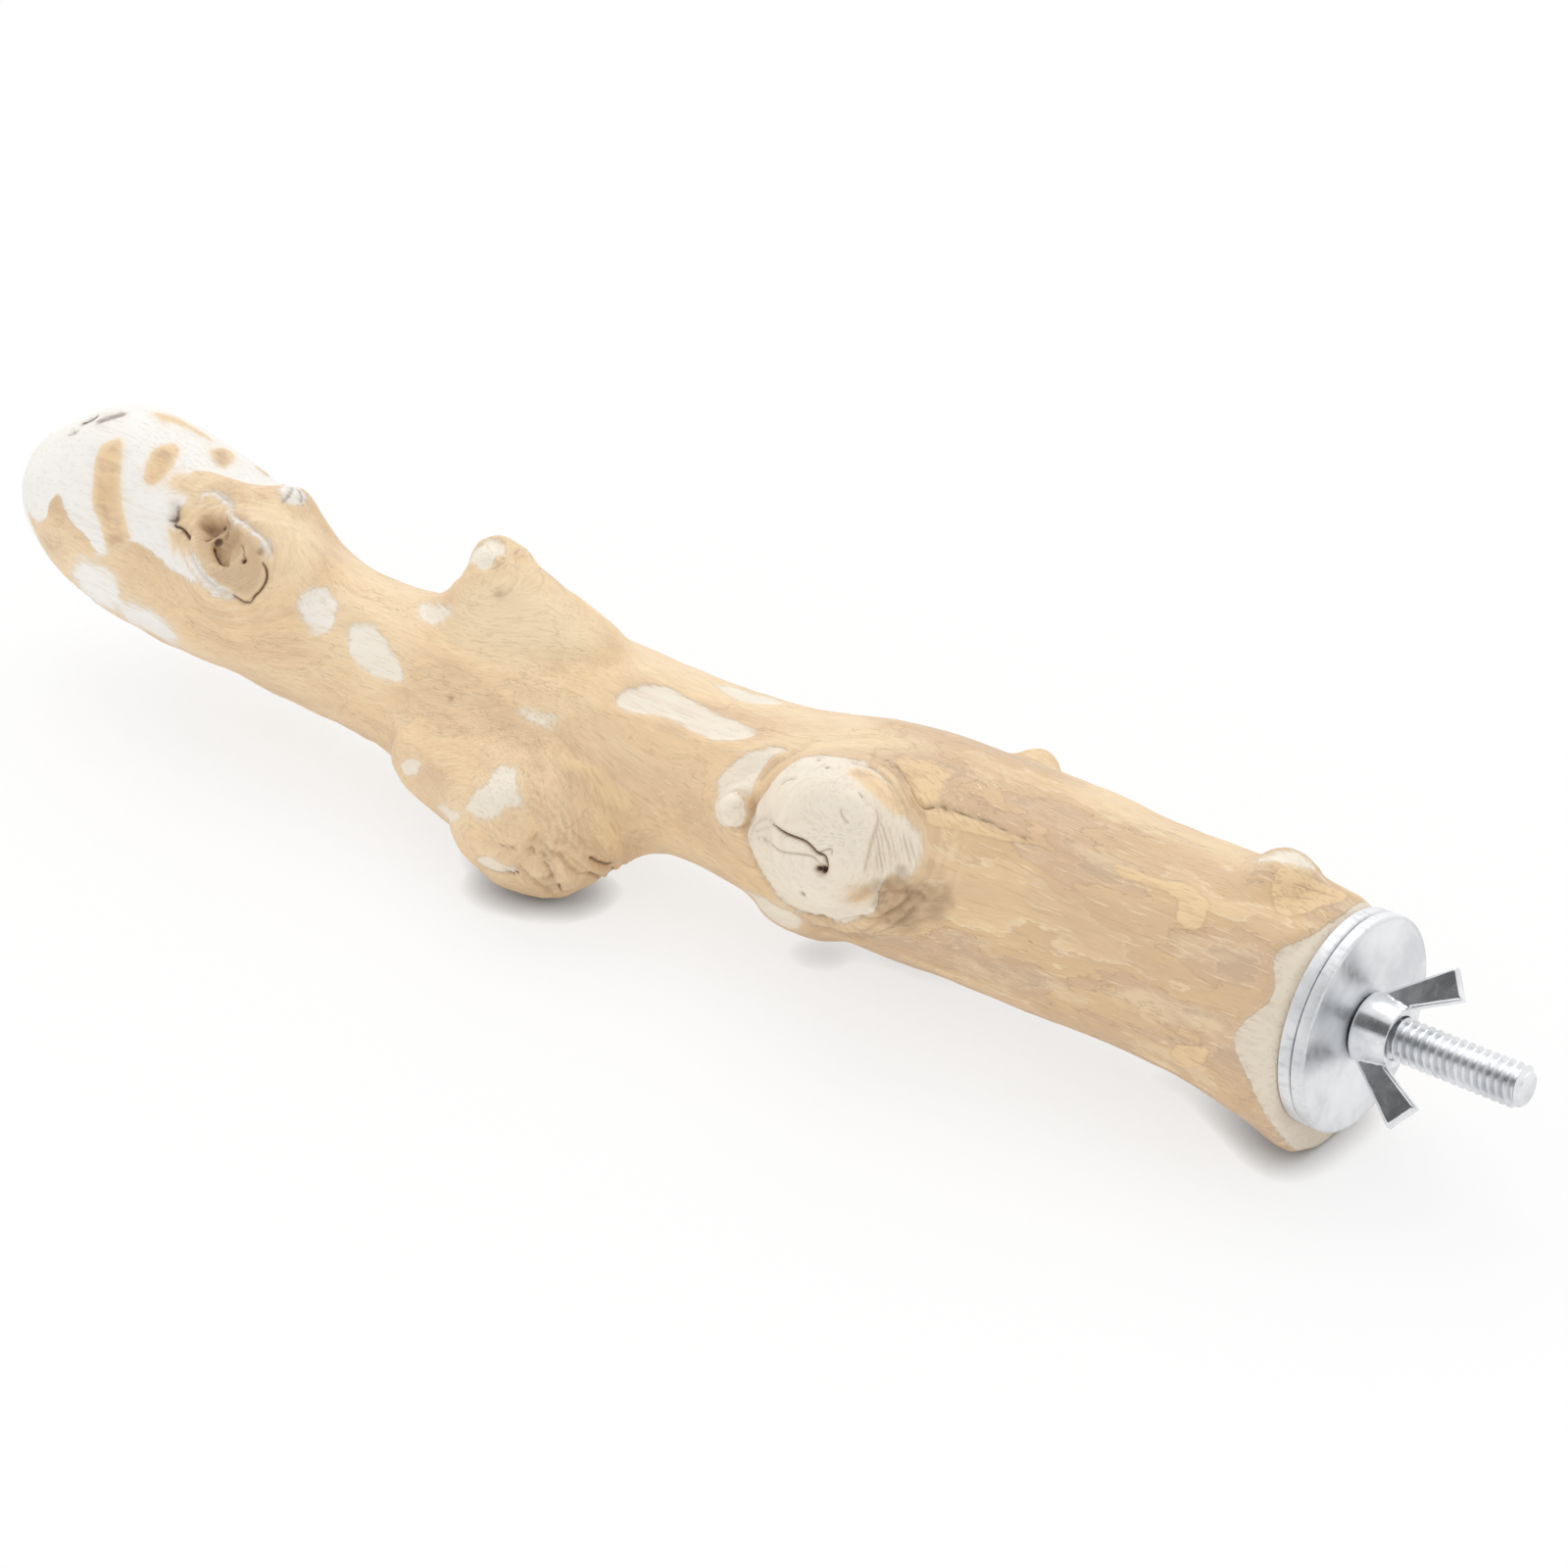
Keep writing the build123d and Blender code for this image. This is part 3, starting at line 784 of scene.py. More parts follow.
def pixel_way(stage, pixel):
    """The way from the camera through a pixel of the photograph."""
    right, up, back = camera_axes(stage)
    focal = stage.lens / stage.sensor * PHOTO_SIDE
    across = (pixel[0] - PHOTO_SIDE / 2) / focal
    upward = (PHOTO_SIDE / 2 - pixel[1]) / focal
    return (right * across + up * upward - back).normalized()


def rounded(pixels, closed):
    """A line with each corner cut twice, or an outline with each cut once, so that it curves."""
    line = np.array(pixels, float)
    for _ in range(1 if closed else 2):
        ends = np.roll(line, -1, axis=0) if closed else line[1:]
        starts = line if closed else line[:-1]
        by_start = (1 - CORNER_CUT) * starts + CORNER_CUT * ends
        by_end = CORNER_CUT * starts + (1 - CORNER_CUT) * ends
        cut = np.stack([by_start, by_end], 1).reshape(-1, 2)
        line = cut if closed else np.concatenate([line[:1], cut, line[-1:]])
    return [tuple(pixel) for pixel in line]


def heart_pixel(pixel):
    """The nearest pixel on the line of the limb's heart."""
    near, far = (Vector(end) for end in HEART_LINE)
    share = (Vector(pixel) - near).dot(far - near) / (far - near).length_squared
    return near.lerp(far, min(max(share, 0.0), 1.0))


# Meshes as arrays

def read_rows(items, name):
    """A mesh property of three numbers as an array of rows."""
    values = np.zeros(len(items) * 3, np.float32)
    items.foreach_get(name, values)
    return values.reshape(-1, 3).astype(float)


def edge_pairs(mesh):
    """The two ends of each edge as an array of rows."""
    pairs = np.zeros(len(mesh.edges) * 2, np.int32)
    mesh.edges.foreach_get("vertices", pairs)
    return pairs.reshape(-1, 2)


def set_points(mesh, points):
    """Moves a mesh's points to the given rows, in metres."""
    mesh.vertices.foreach_set("co", points.ravel())
    mesh.update()


# Surface fields, in millimetres over an array of points

def smoothstep(values, low, high):
    """0 below low, 1 above high, and a smooth rise between."""
    share = np.clip((values - low) / (high - low), 0.0, 1.0)
    return share * share * (3 - 2 * share)


def bell(values, width):
    """1 at 0, and a smooth fall to both sides."""
    return np.exp(-((values / width) ** 2))


def wood_noise(places, wavelength, seed):
    """Even noise of -1 to 1, with wavelengths along the limb and across it."""
    stretch = np.array((wavelength[0], wavelength[1], wavelength[1]))
    shifted = places / stretch + seed * SEED_STRIDE
    return np.array([noise.noise(place) for place in shifted.tolist()])


def waves(places, table):
    """Several noises, one on another."""
    return sum(share * wood_noise(places, wavelength, seed) for share, wavelength, seed in table)


def relax(values, edges, rounds):
    """Moves each value half way to the mean of its neighbours, round after round."""
    columns = values.reshape(len(values), -1).copy()
    count = np.bincount(edges.ravel(), minlength=len(columns))
    for _ in range(rounds):
        for column in columns.T:
            total = np.bincount(edges[:, 0], column[edges[:, 1]], len(column))
            total += np.bincount(edges[:, 1], column[edges[:, 0]], len(column))
            column += 0.5 * (total / count - column)
    return columns.reshape(values.shape)


def softened(points, edges, rounds):
    """Points with their edges rounded, and most of what that shrank given back."""
    smooth = relax(points, edges, rounds[0])
    smooth += relax(points - smooth, edges, rounds[1])
    return smooth


def skin_axes(out):
    """The ways along the limb and across it on skin that faces out."""
    along = np.array((1.0, 0.0, 0.0)) - out[0] * out
    along /= np.linalg.norm(along)
    return along, np.cross(out, along)


def outline_distance(spots, outline):
    """Signed distance of flat points to a closed outline: more than 0 inside."""
    nearest = np.full(len(spots), np.inf)
    within = np.zeros(len(spots), bool)
    for start, end in zip(outline, np.roll(outline, -1, axis=0)):
        run = end - start
        rel = spots - start
        share = np.clip(rel @ run / (run @ run), 0.0, 1.0)
        nearest = np.minimum(nearest, np.linalg.norm(rel - share[:, None] * run, axis=1))
        crosses = (start[1] > spots[:, 1]) != (end[1] > spots[:, 1])
        rise = run[1] if run[1] else TINY
        within ^= crosses & (rel[:, 0] < run[0] * rel[:, 1] / rise)
    return np.where(within, nearest, -nearest)


class LimbSurface:
    """The limb's skin as arrays, with the photograph's places cast on to it."""

    def __init__(self, mesh, stage):
        self.stage = stage
        self.points = read_rows(mesh.vertices, "co") / MM
        self.normals = read_rows(mesh.vertices, "normal")
        self.edges = edge_pairs(mesh)
        self.even_normals = relax(self.normals, self.edges, NORMAL_ROUNDS)
        self.tree = BVHTree.FromPolygons(
            self.points.tolist(), [tuple(face.vertices) for face in mesh.polygons]
        )
        self.eye = Vector(stage.camera_place) / MM

    def cast(self, pixel):
        """The point on the skin under a pixel, drawn in towards the limb's heart until it meets."""
        heart = heart_pixel(pixel)
        for step in range(CAST_STEPS):
            aim = Vector(pixel).lerp(heart, step / CAST_STEPS)
            place, normal, _, _ = self.tree.ray_cast(self.eye, pixel_way(self.stage, aim))
            if place is not None:
                return np.array(place), np.array(normal)
        raise RuntimeError(f"pixel {pixel} doesn't meet the limb")

    def cast_all(self, pixels):
        """The points and normals under a line or outline of pixels."""
        found = [self.cast(pixel) for pixel in pixels]
        return np.array([place for place, _ in found]), np.array([normal for _, normal in found])

    def inside(self, pixels):
        """Signed distance to an outline on the skin: more than 0 inside it."""
        corners, normals = self.cast_all(rounded(pixels, True))
        centre = corners.mean(0)
        out = normals.mean(0) / np.linalg.norm(normals.mean(0))
        along, across = skin_axes(out)
        flat = np.stack([(corners - centre) @ along, (corners - centre) @ across], 1)
        reach = np.linalg.norm(flat, axis=1).max() + FIELD_REACH
        rel = self.points - centre
        facing = self.even_normals @ out
        near = (np.linalg.norm(rel, axis=1) < reach) & (facing > PATCH_BACK)
        spots = np.stack([rel[near] @ along, rel[near] @ across], 1)
        turned = FIELD_REACH * smoothstep(-facing[near], *PATCH_TURN)
        field = np.full(len(self.points), -FIELD_REACH)
        field[near] = np.maximum(outline_distance(spots, flat) - turned, -FIELD_REACH)
        return field

    def along_line(self, pixels):
        """Distance to a line, the same with a sign that is + on its left, and a taper to its ends."""
        places, normals = self.cast_all(rounded(pixels, False))
        centre = places.mean(0)
        reach = np.linalg.norm(places - centre, axis=1).max() + FIELD_REACH
        near = np.flatnonzero(np.linalg.norm(self.points - centre, axis=1) < reach)
        distance = np.full(len(self.points), FIELD_REACH)
        side = np.full(len(self.points), -FIELD_REACH)
        taper = np.zeros(len(self.points))
        for index, (start, end, normal) in enumerate(zip(places, places[1:], normals)):
            run = end - start
            rel = self.points[near] - start
            share = np.clip(rel @ run / max(run @ run, TINY), 0.0, 1.0)
            gap = rel - share[:, None] * run
            far = np.linalg.norm(gap, axis=1)
            closer = far < distance[near]
            chosen = near[closer]
            distance[chosen] = far[closer]
            side[chosen] = (far * np.sign(gap @ np.cross(normal, run)))[closer]
            passed = ((index + share) / (len(places) - 1))[closer]
            taper[chosen] = smoothstep(0.5 - np.abs(passed - 0.5), 0.0, LINE_TAPER)
        return distance, side, taper

    def from_point(self, pixel):
        """Distance to the point on the skin under a pixel."""
        place, _ = self.cast(pixel)
        return np.linalg.norm(self.points - place, axis=1)


# Limb

def merged_copy(node):
    """A copy of a node's mesh with its loose triangles joined."""
    bm = bmesh.new()
    bm.from_mesh(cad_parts[node].data)
    bmesh.ops.remove_doubles(bm, verts=bm.verts, dist=MERGE_REACH)
    mesh = bpy.data.meshes.new(node)
    bm.to_mesh(mesh)
    bm.free()
    return mesh


def even_skin(mesh, quad):
    """An even skin of small quads over a closed mesh."""
    carrier = bpy.data.objects.new("skin_carrier", mesh)
    bpy.context.scene.collection.objects.link(carrier)
    remesh = carrier.modifiers.new("Skin", "REMESH")
    remesh.mode = "VOXEL"
    remesh.voxel_size = quad
    depsgraph = bpy.context.evaluated_depsgraph_get()
    skin = bpy.data.meshes.new_from_object(carrier.evaluated_get(depsgraph))
    bpy.data.objects.remove(carrier)
    return skin


def hold_places(points):
    """How freely each point of the limb may move: not at all on the sawn face and in the bore."""
    from_axis = np.hypot(points[:, 1], points[:, 2])
    return smoothstep(from_axis, *FREE_RADII) * smoothstep(SAWN_FACE - points[:, 0], *FREE_DEPTHS)


def blend_growths(mesh):
    """Rounds the flats and draws the knobs into the limb, without shrinking them."""
    points = read_rows(mesh.vertices, "co")
    smooth = softened(points, edge_pairs(mesh), BLEND_ROUNDS)
    free = hold_places(points / MM)[:, None]
    set_points(mesh, points + free * (smooth - points))


def swell_growths(mesh, stage):
    """Grows or lowers a few places, so that the limb's outline follows the photograph's."""
    surface = LimbSurface(mesh, stage)
    moved = surface.points.copy()
    touched = np.zeros(len(moved))
    for radius, rise, lift, pixel in SWELLS.values():
        distance = surface.from_point(pixel)
        share = np.clip(1.0 - (distance / radius) ** 2, 0.0, 1.0) ** 2
        moved += share[:, None] * (rise * surface.normals + np.array((0.0, 0.0, lift)))
        touched = np.maximum(touched, share)
    settled = relax(moved, surface.edges, SETTLE_ROUNDS)
    moved += np.minimum(2 * touched, 1.0)[:, None] * (settled - moved)
    set_points(mesh, moved * MM)


def fill_creases(mesh, stage):
    """Fills the creases between growths that are one swelling on the real limb."""
    surface = LimbSurface(mesh, stage)
    inward = relax(surface.points, surface.edges, CREASE_ROUNDS) - surface.points
    rise = np.maximum((inward * surface.normals).sum(1), 0.0)
    share = np.zeros(len(rise))
    for pixel, radius in CREASES.values():
        distance = surface.from_point(pixel)
        share = np.maximum(share, smoothstep(-distance, -radius, -CREASE_CORE * radius))
    filled = surface.points + (share * rise)[:, None] * surface.normals
    set_points(mesh, filled * MM)


def divide_skin(mesh, chosen):
    """Divides the quads whose corners are all chosen."""
    bm = bmesh.new()
    bm.from_mesh(mesh)
    bm.verts.ensure_lookup_table()
    edges = [edge for edge in bm.edges if all(chosen[vert.index] for vert in edge.verts)]
    bmesh.ops.subdivide_edges(bm, edges=edges, cuts=1, use_grid_fill=True)
    bm.to_mesh(mesh)
    bm.free()


def refine_skin(mesh, stage):
    """Divides the quads round the knots, and once more along each split."""
    surface = LimbSurface(mesh, stage)
    chosen = np.zeros(len(surface.points), bool)
    for pixel, radius in FINE_SKIN.values():
        chosen |= surface.from_point(pixel) < radius
    divide_skin(mesh, chosen)
    surface = LimbSurface(mesh, stage)
    chosen = surface.inside(COMB_OUTLINE) > -COMB_MARGIN
    for half_width, _, _, line in SPLITS_AND_SHADOW_LINES.values():
        distance, _, _ = surface.along_line(line)
        chosen |= distance < half_width + SPLIT_MARGIN
    for radius, _, _, _, pixel in DENTS.values():
        chosen |= surface.from_point(pixel) < min(radius, WIDEST_DENT) + DENT_MARGIN
    divide_skin(mesh, chosen)


def grain_flow(surface):
    """Places along and across the grain, which flows round each knot as water round a post."""
    flow = surface.points.copy()
    for pixel, radius in GRAIN_KNOTS.values():
        place, out = surface.cast(pixel)
        along, across = skin_axes(out)
        rel = surface.points - place
        run, wide, high = rel @ along, rel @ across, rel @ out
        beside = bell(high, FLOW_HEIGHT * radius)
        push = beside * radius**2 / (run**2 + wide**2 + FLOW_CORE * radius**2)
        flow += (push * run)[:, None] * along - (push * wide)[:, None] * across
    return flow


def pale_ring(surface):
    """Signed distance past the ragged edge of the pale ring at the sawn end."""
    _, edge = FOLDS["bark's end"]
    places, _ = surface.cast_all(rounded(edge, False))
    turns = np.arctan2(places[:, 2], places[:, 1]) % (2 * math.pi)
    widths = SAWN_FACE - places[:, 0]
    order = np.argsort(turns)
    own_turns = np.arctan2(surface.points[:, 2], surface.points[:, 1]) % (2 * math.pi)
    width = np.interp(own_turns, turns[order], widths[order], period=2 * math.pi)
    return width - (SAWN_FACE - surface.points[:, 0])


def unseen(surface, low, high):
    """1 where the skin faces away from the photograph's camera by more than high, 0 below low."""
    eye_way = np.array(surface.eye) - surface.points
    eye_way /= np.linalg.norm(eye_way, axis=1)[:, None]
    return smoothstep(-(surface.normals * eye_way).sum(1), low, high)


def within_any(surface, outlines):
    """Signed distance to the nearest of several outlines: more than 0 inside one."""
    return np.max([
        surface.inside(outline) / SOFT_EDGES.get(name, 1.0) for name, outline in outlines.items()
    ], axis=0)


class Carving:
    """What is done to the limb's skin: how far each point moves out, what stains it, and the shade and
    highlights painted on it.

    Lengths are in millimetres; a share is of 0 to 1.
    """

    def __init__(self, surface):
        self.surface = surface
        self.height = np.zeros(len(surface.points))
        self.soil_and_shade = np.zeros(len(surface.points))
        self.pale = np.zeros(len(surface.points))
        self.split = np.zeros(len(surface.points))

    def gather_soil_and_shade(self, share):
        """Lets brown soil gather, and paints shade under layer lips, in the lumps' valleys and on and
        under the big knot.
        """
        self.soil_and_shade = np.maximum(self.soil_and_shade, share)

    def fade(self, share):
        """Makes the bark pale: thin bark, paler crests round the knots, and painted highlights."""
        self.pale = np.maximum(self.pale, share)

    def darken(self, share):
        """Shows the dark of splits and holes, and painted shadow lines."""
        self.split = np.maximum(self.split, share)

    def cut_splits_and_shadow_lines(self):
        """Cracks that narrow towards their ends, and painted shadow lines between the foot's folds."""
        end_share = 0.35
        wall = 0.16
        dark_out, dark_in = 0.12, 0.06
        soil_and_shade_share, soil_reach = 0.6, 0.28
        for half_width, depth, darkness, line in SPLITS_AND_SHADOW_LINES.values():
            distance, _, taper = self.surface.along_line(line)
            thin = end_share + (1 - end_share) * taper
            width = half_width * thin
            self.height -= depth * thin * bell(distance, width + wall)
            self.darken(darkness * smoothstep(-distance, -width - dark_out, -width + dark_in))
            self.gather_soil_and_shade(soil_and_shade_share * darkness * np.exp(-distance / (width + soil_reach)))

    def raise_folds(self):
        """Layers that end in a lip, with a groove and a painted shadow under it."""
        reach, last_stretch = 2.2, 2.0
        lip_start, lip_end = -0.2, 0.25
        groove_share, groove_place, groove_width = 0.5, 0.45, 0.4
        soil_and_shade_share, shadow_place, shadow_width = 0.4, 0.25, 0.3
        for rise, line in FOLDS.values():
            distance, side, taper = self.surface.along_line(line)
            ending = smoothstep(FIELD_REACH - distance, 0.0, last_stretch)
            fade = taper * np.exp(-distance / reach) * ending
            self.height += rise * fade * smoothstep(side, lip_start, lip_end)
            self.height -= groove_share * rise * taper * bell(side + groove_place, groove_width)
            # Painted shadow under the lip
            self.gather_soil_and_shade(soil_and_shade_share * taper * np.exp(-np.abs(side + shadow_place) / shadow_width))

    def press_dents(self):
        """Pores, holes and bumps."""
        soil_reach, dark_core = 1.3, 0.5
        for radius, depth, soil_and_shade, darkness, pixel in DENTS.values():
            distance = self.surface.from_point(pixel)
            self.height -= depth * bell(distance, radius)
            self.gather_soil_and_shade(soil_and_shade * bell(distance, soil_reach * radius))
            self.darken(darkness * smoothstep(-distance, -radius, -dark_core * radius))

    def soak_stains_and_shade(self):
        """Patches of brown with ragged, streaky edges, and painted shade on and under the big knot's cap
        and beside the bud.
        """
        ragged = 1.8 * wood_noise(self.surface.points, (4.0, 2.0), 14)
        streaks = 0.85 + 0.5 * wood_noise(self.surface.points, (2.6, 0.9), 15)
        edge_out, edge_in = -1.0, 1.6
        for share, outline in STAINS_AND_SHADE.values():
            soaked = smoothstep(self.surface.inside(outline) + ragged, edge_out, edge_in)
            self.gather_soil_and_shade(share * soaked * streaks)

    def pale_bark_and_highlights(self):
        """Wide pale places with soft edges: thin bark, and painted highlights on the lit top, the stub's
        flank and the foot's ledge.
        """
        soft_edge = 3.0
        for share, outline in PALES_AND_HIGHLIGHTS.values():
            self.fade(share * smoothstep(self.surface.inside(outline), -soft_edge, soft_edge))

    def raise_rolls(self):
        """Rounded rolls that sink into the skin at both ends."""
        for half_width, height, line in ROLLS.values():
            distance, _, taper = self.surface.along_line(line)
            self.height += height * taper * bell(distance, half_width)

    def sink_hollows(self):
        """Faces that lie below their surroundings."""
        wall_out, wall_in = 0.2, 0.8
        for depth, wall, soil_and_shade, outline in HOLLOWS.values():
            sunk = smoothstep(self.surface.inside(outline), -wall_out * wall, wall_in * wall)
            self.height -= depth * sunk
            self.gather_soil_and_shade(soil_and_shade * sunk)

    def swell_lumps(self):
        """Lumpy skin with painted shade in its valleys."""
        soil_and_shade_share, valley_start, valley_end = 0.3, 0.05, 0.5
        for seed, (reach, size, height, pixel) in enumerate(LUMPS.values(), FIRST_LUMP_SEED):
            near = bell(self.surface.from_point(pixel), reach)
            lump = wood_noise(self.surface.points, (size, size), seed)
            self.height += height * near * lump
            valley = smoothstep(-lump, valley_start, valley_end)
            # Painted shade in the valleys between lumps
            self.gather_soil_and_shade(soil_and_shade_share * min(height, 1.0) * near * valley)

    def ring_knots(self):
        """Rings of wood round the knots, paler on their crests."""
        waver_share, waver_size = 1.6, 6.0
        pale_share, crest = 0.55, 0.9
        for seed, ripple in enumerate(RIPPLES.values(), FIRST_RIPPLE_SEED):
            inner, outer, spacing, height, pixel = ripple
            distance = self.surface.from_point(pixel)
            waver = waver_share * wood_noise(self.surface.points, (waver_size, waver_size), seed)
            ring = np.sin(2 * math.pi * distance / spacing + waver)
            near = bell(distance - (inner + outer) / 2, (outer - inner) / 2)
            self.height += height * ring * near
            self.fade(pale_share * near * smoothstep(ring, 0.0, crest))

    def comb_fibres(self):
        """Upright fibres on the big knot's flank, darker between them."""
        depth, soil_and_shade_share, darker_gaps_start = 0.45, 0.55, 0.3
        edge_out, edge_in = -0.4, 2.0
        _, out = self.surface.cast(COMB_CENTRE)
        across = np.cross(out, (0.0, 0.0, 1.0))
        across /= np.linalg.norm(across)
        points = self.surface.points
        strands = np.stack([points[:, 2], points @ across, points @ out], 1)
        waver = 6.0 * wood_noise(strands, (8.0, 2.0), 9)
        gaps = 0.5 + 0.5 * np.sin(2 * math.pi * strands[:, 1] / COMB_SPACING + waver)
        deep = 0.5 + 0.7 * wood_noise(strands, (6.0, 1.1), 10)
        comb = deep * smoothstep(self.surface.inside(COMB_OUTLINE), edge_out, edge_in)
        self.height -= comb * depth * gaps
        self.gather_soil_and_shade(comb * soil_and_shade_share * smoothstep(gaps, darker_gaps_start, 1.0))

    def round_bud(self):
        """A small ball with a crease round it."""
        rise, flat_share = 1.0, 0.3
        crease_width, crease_depth, soil_and_shade_share = 0.5, 0.8, 0.35
        distance = self.surface.from_point(BUD_CENTRE)
        self.height += rise * smoothstep(-distance, -BUD_RADIUS, -flat_share * BUD_RADIUS)
        crease = bell(distance - BUD_RADIUS, crease_width)
        self.height -= crease_depth * crease
        self.gather_soil_and_shade(soil_and_shade_share * crease)

    def carve_all(self):
        """Every form in its order."""
        self.cut_splits_and_shadow_lines()
        self.raise_folds()
        self.press_dents()
        self.soak_stains_and_shade()
        self.pale_bark_and_highlights()
        self.raise_rolls()
        self.sink_hollows()
        self.swell_lumps()
        self.ring_knots()
        self.comb_fibres()
        self.round_bud()


def peeled_back(surface, grain):
    """Signed distance into the bare patches of the side that the photograph doesn't show."""
    hidden = unseen(surface, *HIDDEN_SIDE)
    edge_on = unseen(surface, *EDGE_ON_SIDE)
    deep_back = unseen(surface, *DEEP_BACK)
    patches = waves(grain, PATCH_WAVES) - PATCH_LEVEL
    on_top = smoothstep(surface.normals[:, 2], *TOP_SIDE)
    peeled = LIMB_TIP + TIP_PEEL + TOP_PEEL * on_top - surface.points[:, 0]
    peeled += (RIM_FINGERS + (1 - RIM_FINGERS) * deep_back) * waves(grain, FINGER_WAVES)
    islands = smoothstep(waves(grain, ISLAND_WAVES), *ISLAND_EDGE)
    peeled -= ISLAND_DEPTH * deep_back * islands
    from_decayed = surface.from_point(FINE_SKIN["decayed knot"][0])
    peeled -= BARKED_DEPTH * smoothstep(-from_decayed, *BARKED_ROUND_DECAY)
    return np.maximum(
        PATCH_SLOPE * patches - PATCH_HOLD * (1 - hidden), peeled - PEEL_HOLD * (1 - edge_on)
    )


def limb_fields(surface, wood):
    """The fields that the wood's material reads, and how far each point of the skin moves out."""
    grain = grain_flow(surface)
    layer = waves(grain, LAYER_WAVES)
    ring = pale_ring(surface)
    patches = [within_any(surface, BARE_OUTLINES), peeled_back(surface, grain), RING_SLOPE * ring]
    bare = np.clip(np.max(patches, axis=0), -FIELD_REACH, FIELD_REACH)
    tan = within_any(surface, TAN_OUTLINES)
    gold = within_any(surface, GOLD_OUTLINES)

    barked = smoothstep(-bare, *PATCH_EDGE)
    carving = Carving(surface)
    carving.gather_soil_and_shade(RING_SOIL * smoothstep(ring, *RING_EDGE))
    carving.height += wood.wave_height / MM * waves(grain, SWELL_WAVES)
    for height, wavelength, seed in SKIN_WAVES:
        carving.height += height * wood_noise(grain, wavelength, seed)
    for edge in LAYER_EDGES:
        step = smoothstep(layer, edge - LAYER_SLOPE, edge + LAYER_SLOPE)
        carving.height += wood.layer_step / MM * step * barked
    carving.height -= wood.bare_depth / MM * (1 - barked)
    flakes = GOLD_RISE * smoothstep(gold, *PATCH_EDGE) + TAN_RISE * smoothstep(tan, *PATCH_EDGE)
    carving.height += flakes
    carving.carve_all()

    bare = relax(bare, surface.edges, EDGE_ROUNDS)
    height = relax(carving.height, surface.edges, EDGE_ROUNDS)
    fields = {
        "layer": layer, "bare": bare, "tan": tan, "gold": gold, "pale": carving.pale,
        "split": carving.split, "soil_and_shade": carving.soil_and_shade,
    }
    return grain, fields, height


def carve_limb(mesh, wood, stage):
    """Moves the skin out and in by its height, and keeps it on the table and behind the washer."""
    surface = LimbSurface(mesh, stage)
    grain, fields, height = limb_fields(surface, wood)
    free = hold_places(surface.points)
    carved = surface.points + (free * height)[:, None] * surface.normals
    carved[:, 2] = np.maximum(carved[:, 2], TABLE)
    carved[:, 0] = np.minimum(carved[:, 0], SAWN_FACE)
    set_points(mesh, carved * MM)
    mesh.attributes.new("grain", "FLOAT_VECTOR", "POINT").data.foreach_set("vector", grain.ravel())
    for name, field in fields.items():
        mesh.attributes.new(name, "FLOAT", "POINT").data.foreach_set("value", field)
    mesh.update()


# Hardware

def spun(profile, steps):
    """A closed shape from an outline of (x, radius) points spun once round the X axis."""
    bm = bmesh.new()
    verts = [bm.verts.new((x, 0.0, radius)) for x, radius in profile]
    edges = [bm.edges.new(pair) for pair in zip(verts, verts[1:] + verts[:1])]
    bmesh.ops.spin(
        bm, geom=verts + edges, cent=(0, 0, 0), axis=(1, 0, 0), dvec=(0, 0, 0),
        angle=2 * math.pi, steps=steps, use_merge=True,
    )
    bmesh.ops.remove_doubles(bm, verts=bm.verts, dist=SPUN_MERGE_REACH)
    bmesh.ops.recalc_face_normals(bm, faces=bm.faces)
    return bm


def arc(centre, radius, start, end, steps):
    """Points of a round corner, from one angle to another, in degrees."""
    angles = [math.radians(start + (end - start) * step / steps) for step in range(steps + 1)]
    return [(centre[0] + radius * math.cos(a), centre[1] + radius * math.sin(a)) for a in angles]


def washer_shape(node, zinc):
    """A punched washer: a drawn-down rim on its outer face, a sheared edge and a round hole."""
    low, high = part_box(node)
    rim = high.y
    hole = zinc.washer_hole
    soft = zinc.rim_round
    burr = zinc.rim_burr
    back = low.x + zinc.washer_seat
    lifted = back + zinc.washer_dish
    profile = [(back, WASHER_FLAT * rim), (back, hole + burr)]
    profile += arc((back + burr, hole + burr), burr, 180, 270, steps=3)[1:]
    profile += arc((high.x - burr, hole + burr), burr, 270, 360, steps=3)
    profile += arc((high.x - soft, rim - soft), soft, 0, 90, steps=6)
    profile += arc((lifted + burr, rim - burr), burr, 90, 180, steps=4)
    return spun(profile, WASHER_FINENESS * zinc.turn_steps)


def thread_run(bm, start, end, crest, depth, pitch, steps):
    """One thread: a profile of one pitch screwed along the X axis."""
    root = crest - depth
    flat = pitch / 8
    slope = (pitch - 3 * flat) / 2
    profile = [
        (start, root), (start + slope, crest), (start + slope + flat, crest),
        (start + 2 * slope + flat, root), (start + pitch, root),
    ]
    verts = [bm.verts.new((x, 0.0, radius)) for x, radius in profile]
    edges = [bm.edges.new(pair) for pair in zip(verts, verts[1:])]
    turns = math.ceil((end - start) / pitch) - 1
    bmesh.ops.spin(
        bm, geom=verts + edges, cent=(0, 0, 0), axis=(1, 0, 0), dvec=(pitch / steps, 0, 0),
        angle=2 * math.pi * turns, steps=steps * turns,
    )


def cut_end(bm, x, keep_below):
    """Cuts a thread square at x and closes it."""
    cut = bmesh.ops.bisect_plane(
        bm, geom=bm.verts[:] + bm.edges[:] + bm.faces[:], plane_co=(x, 0, 0), plane_no=(1, 0, 0),
        clear_outer=keep_below, clear_inner=not keep_below,
    )
    rim = [item for item in cut["geom_cut"] if isinstance(item, bmesh.types.BMEdge)]
    bmesh.ops.contextual_create(bm, geom=rim)


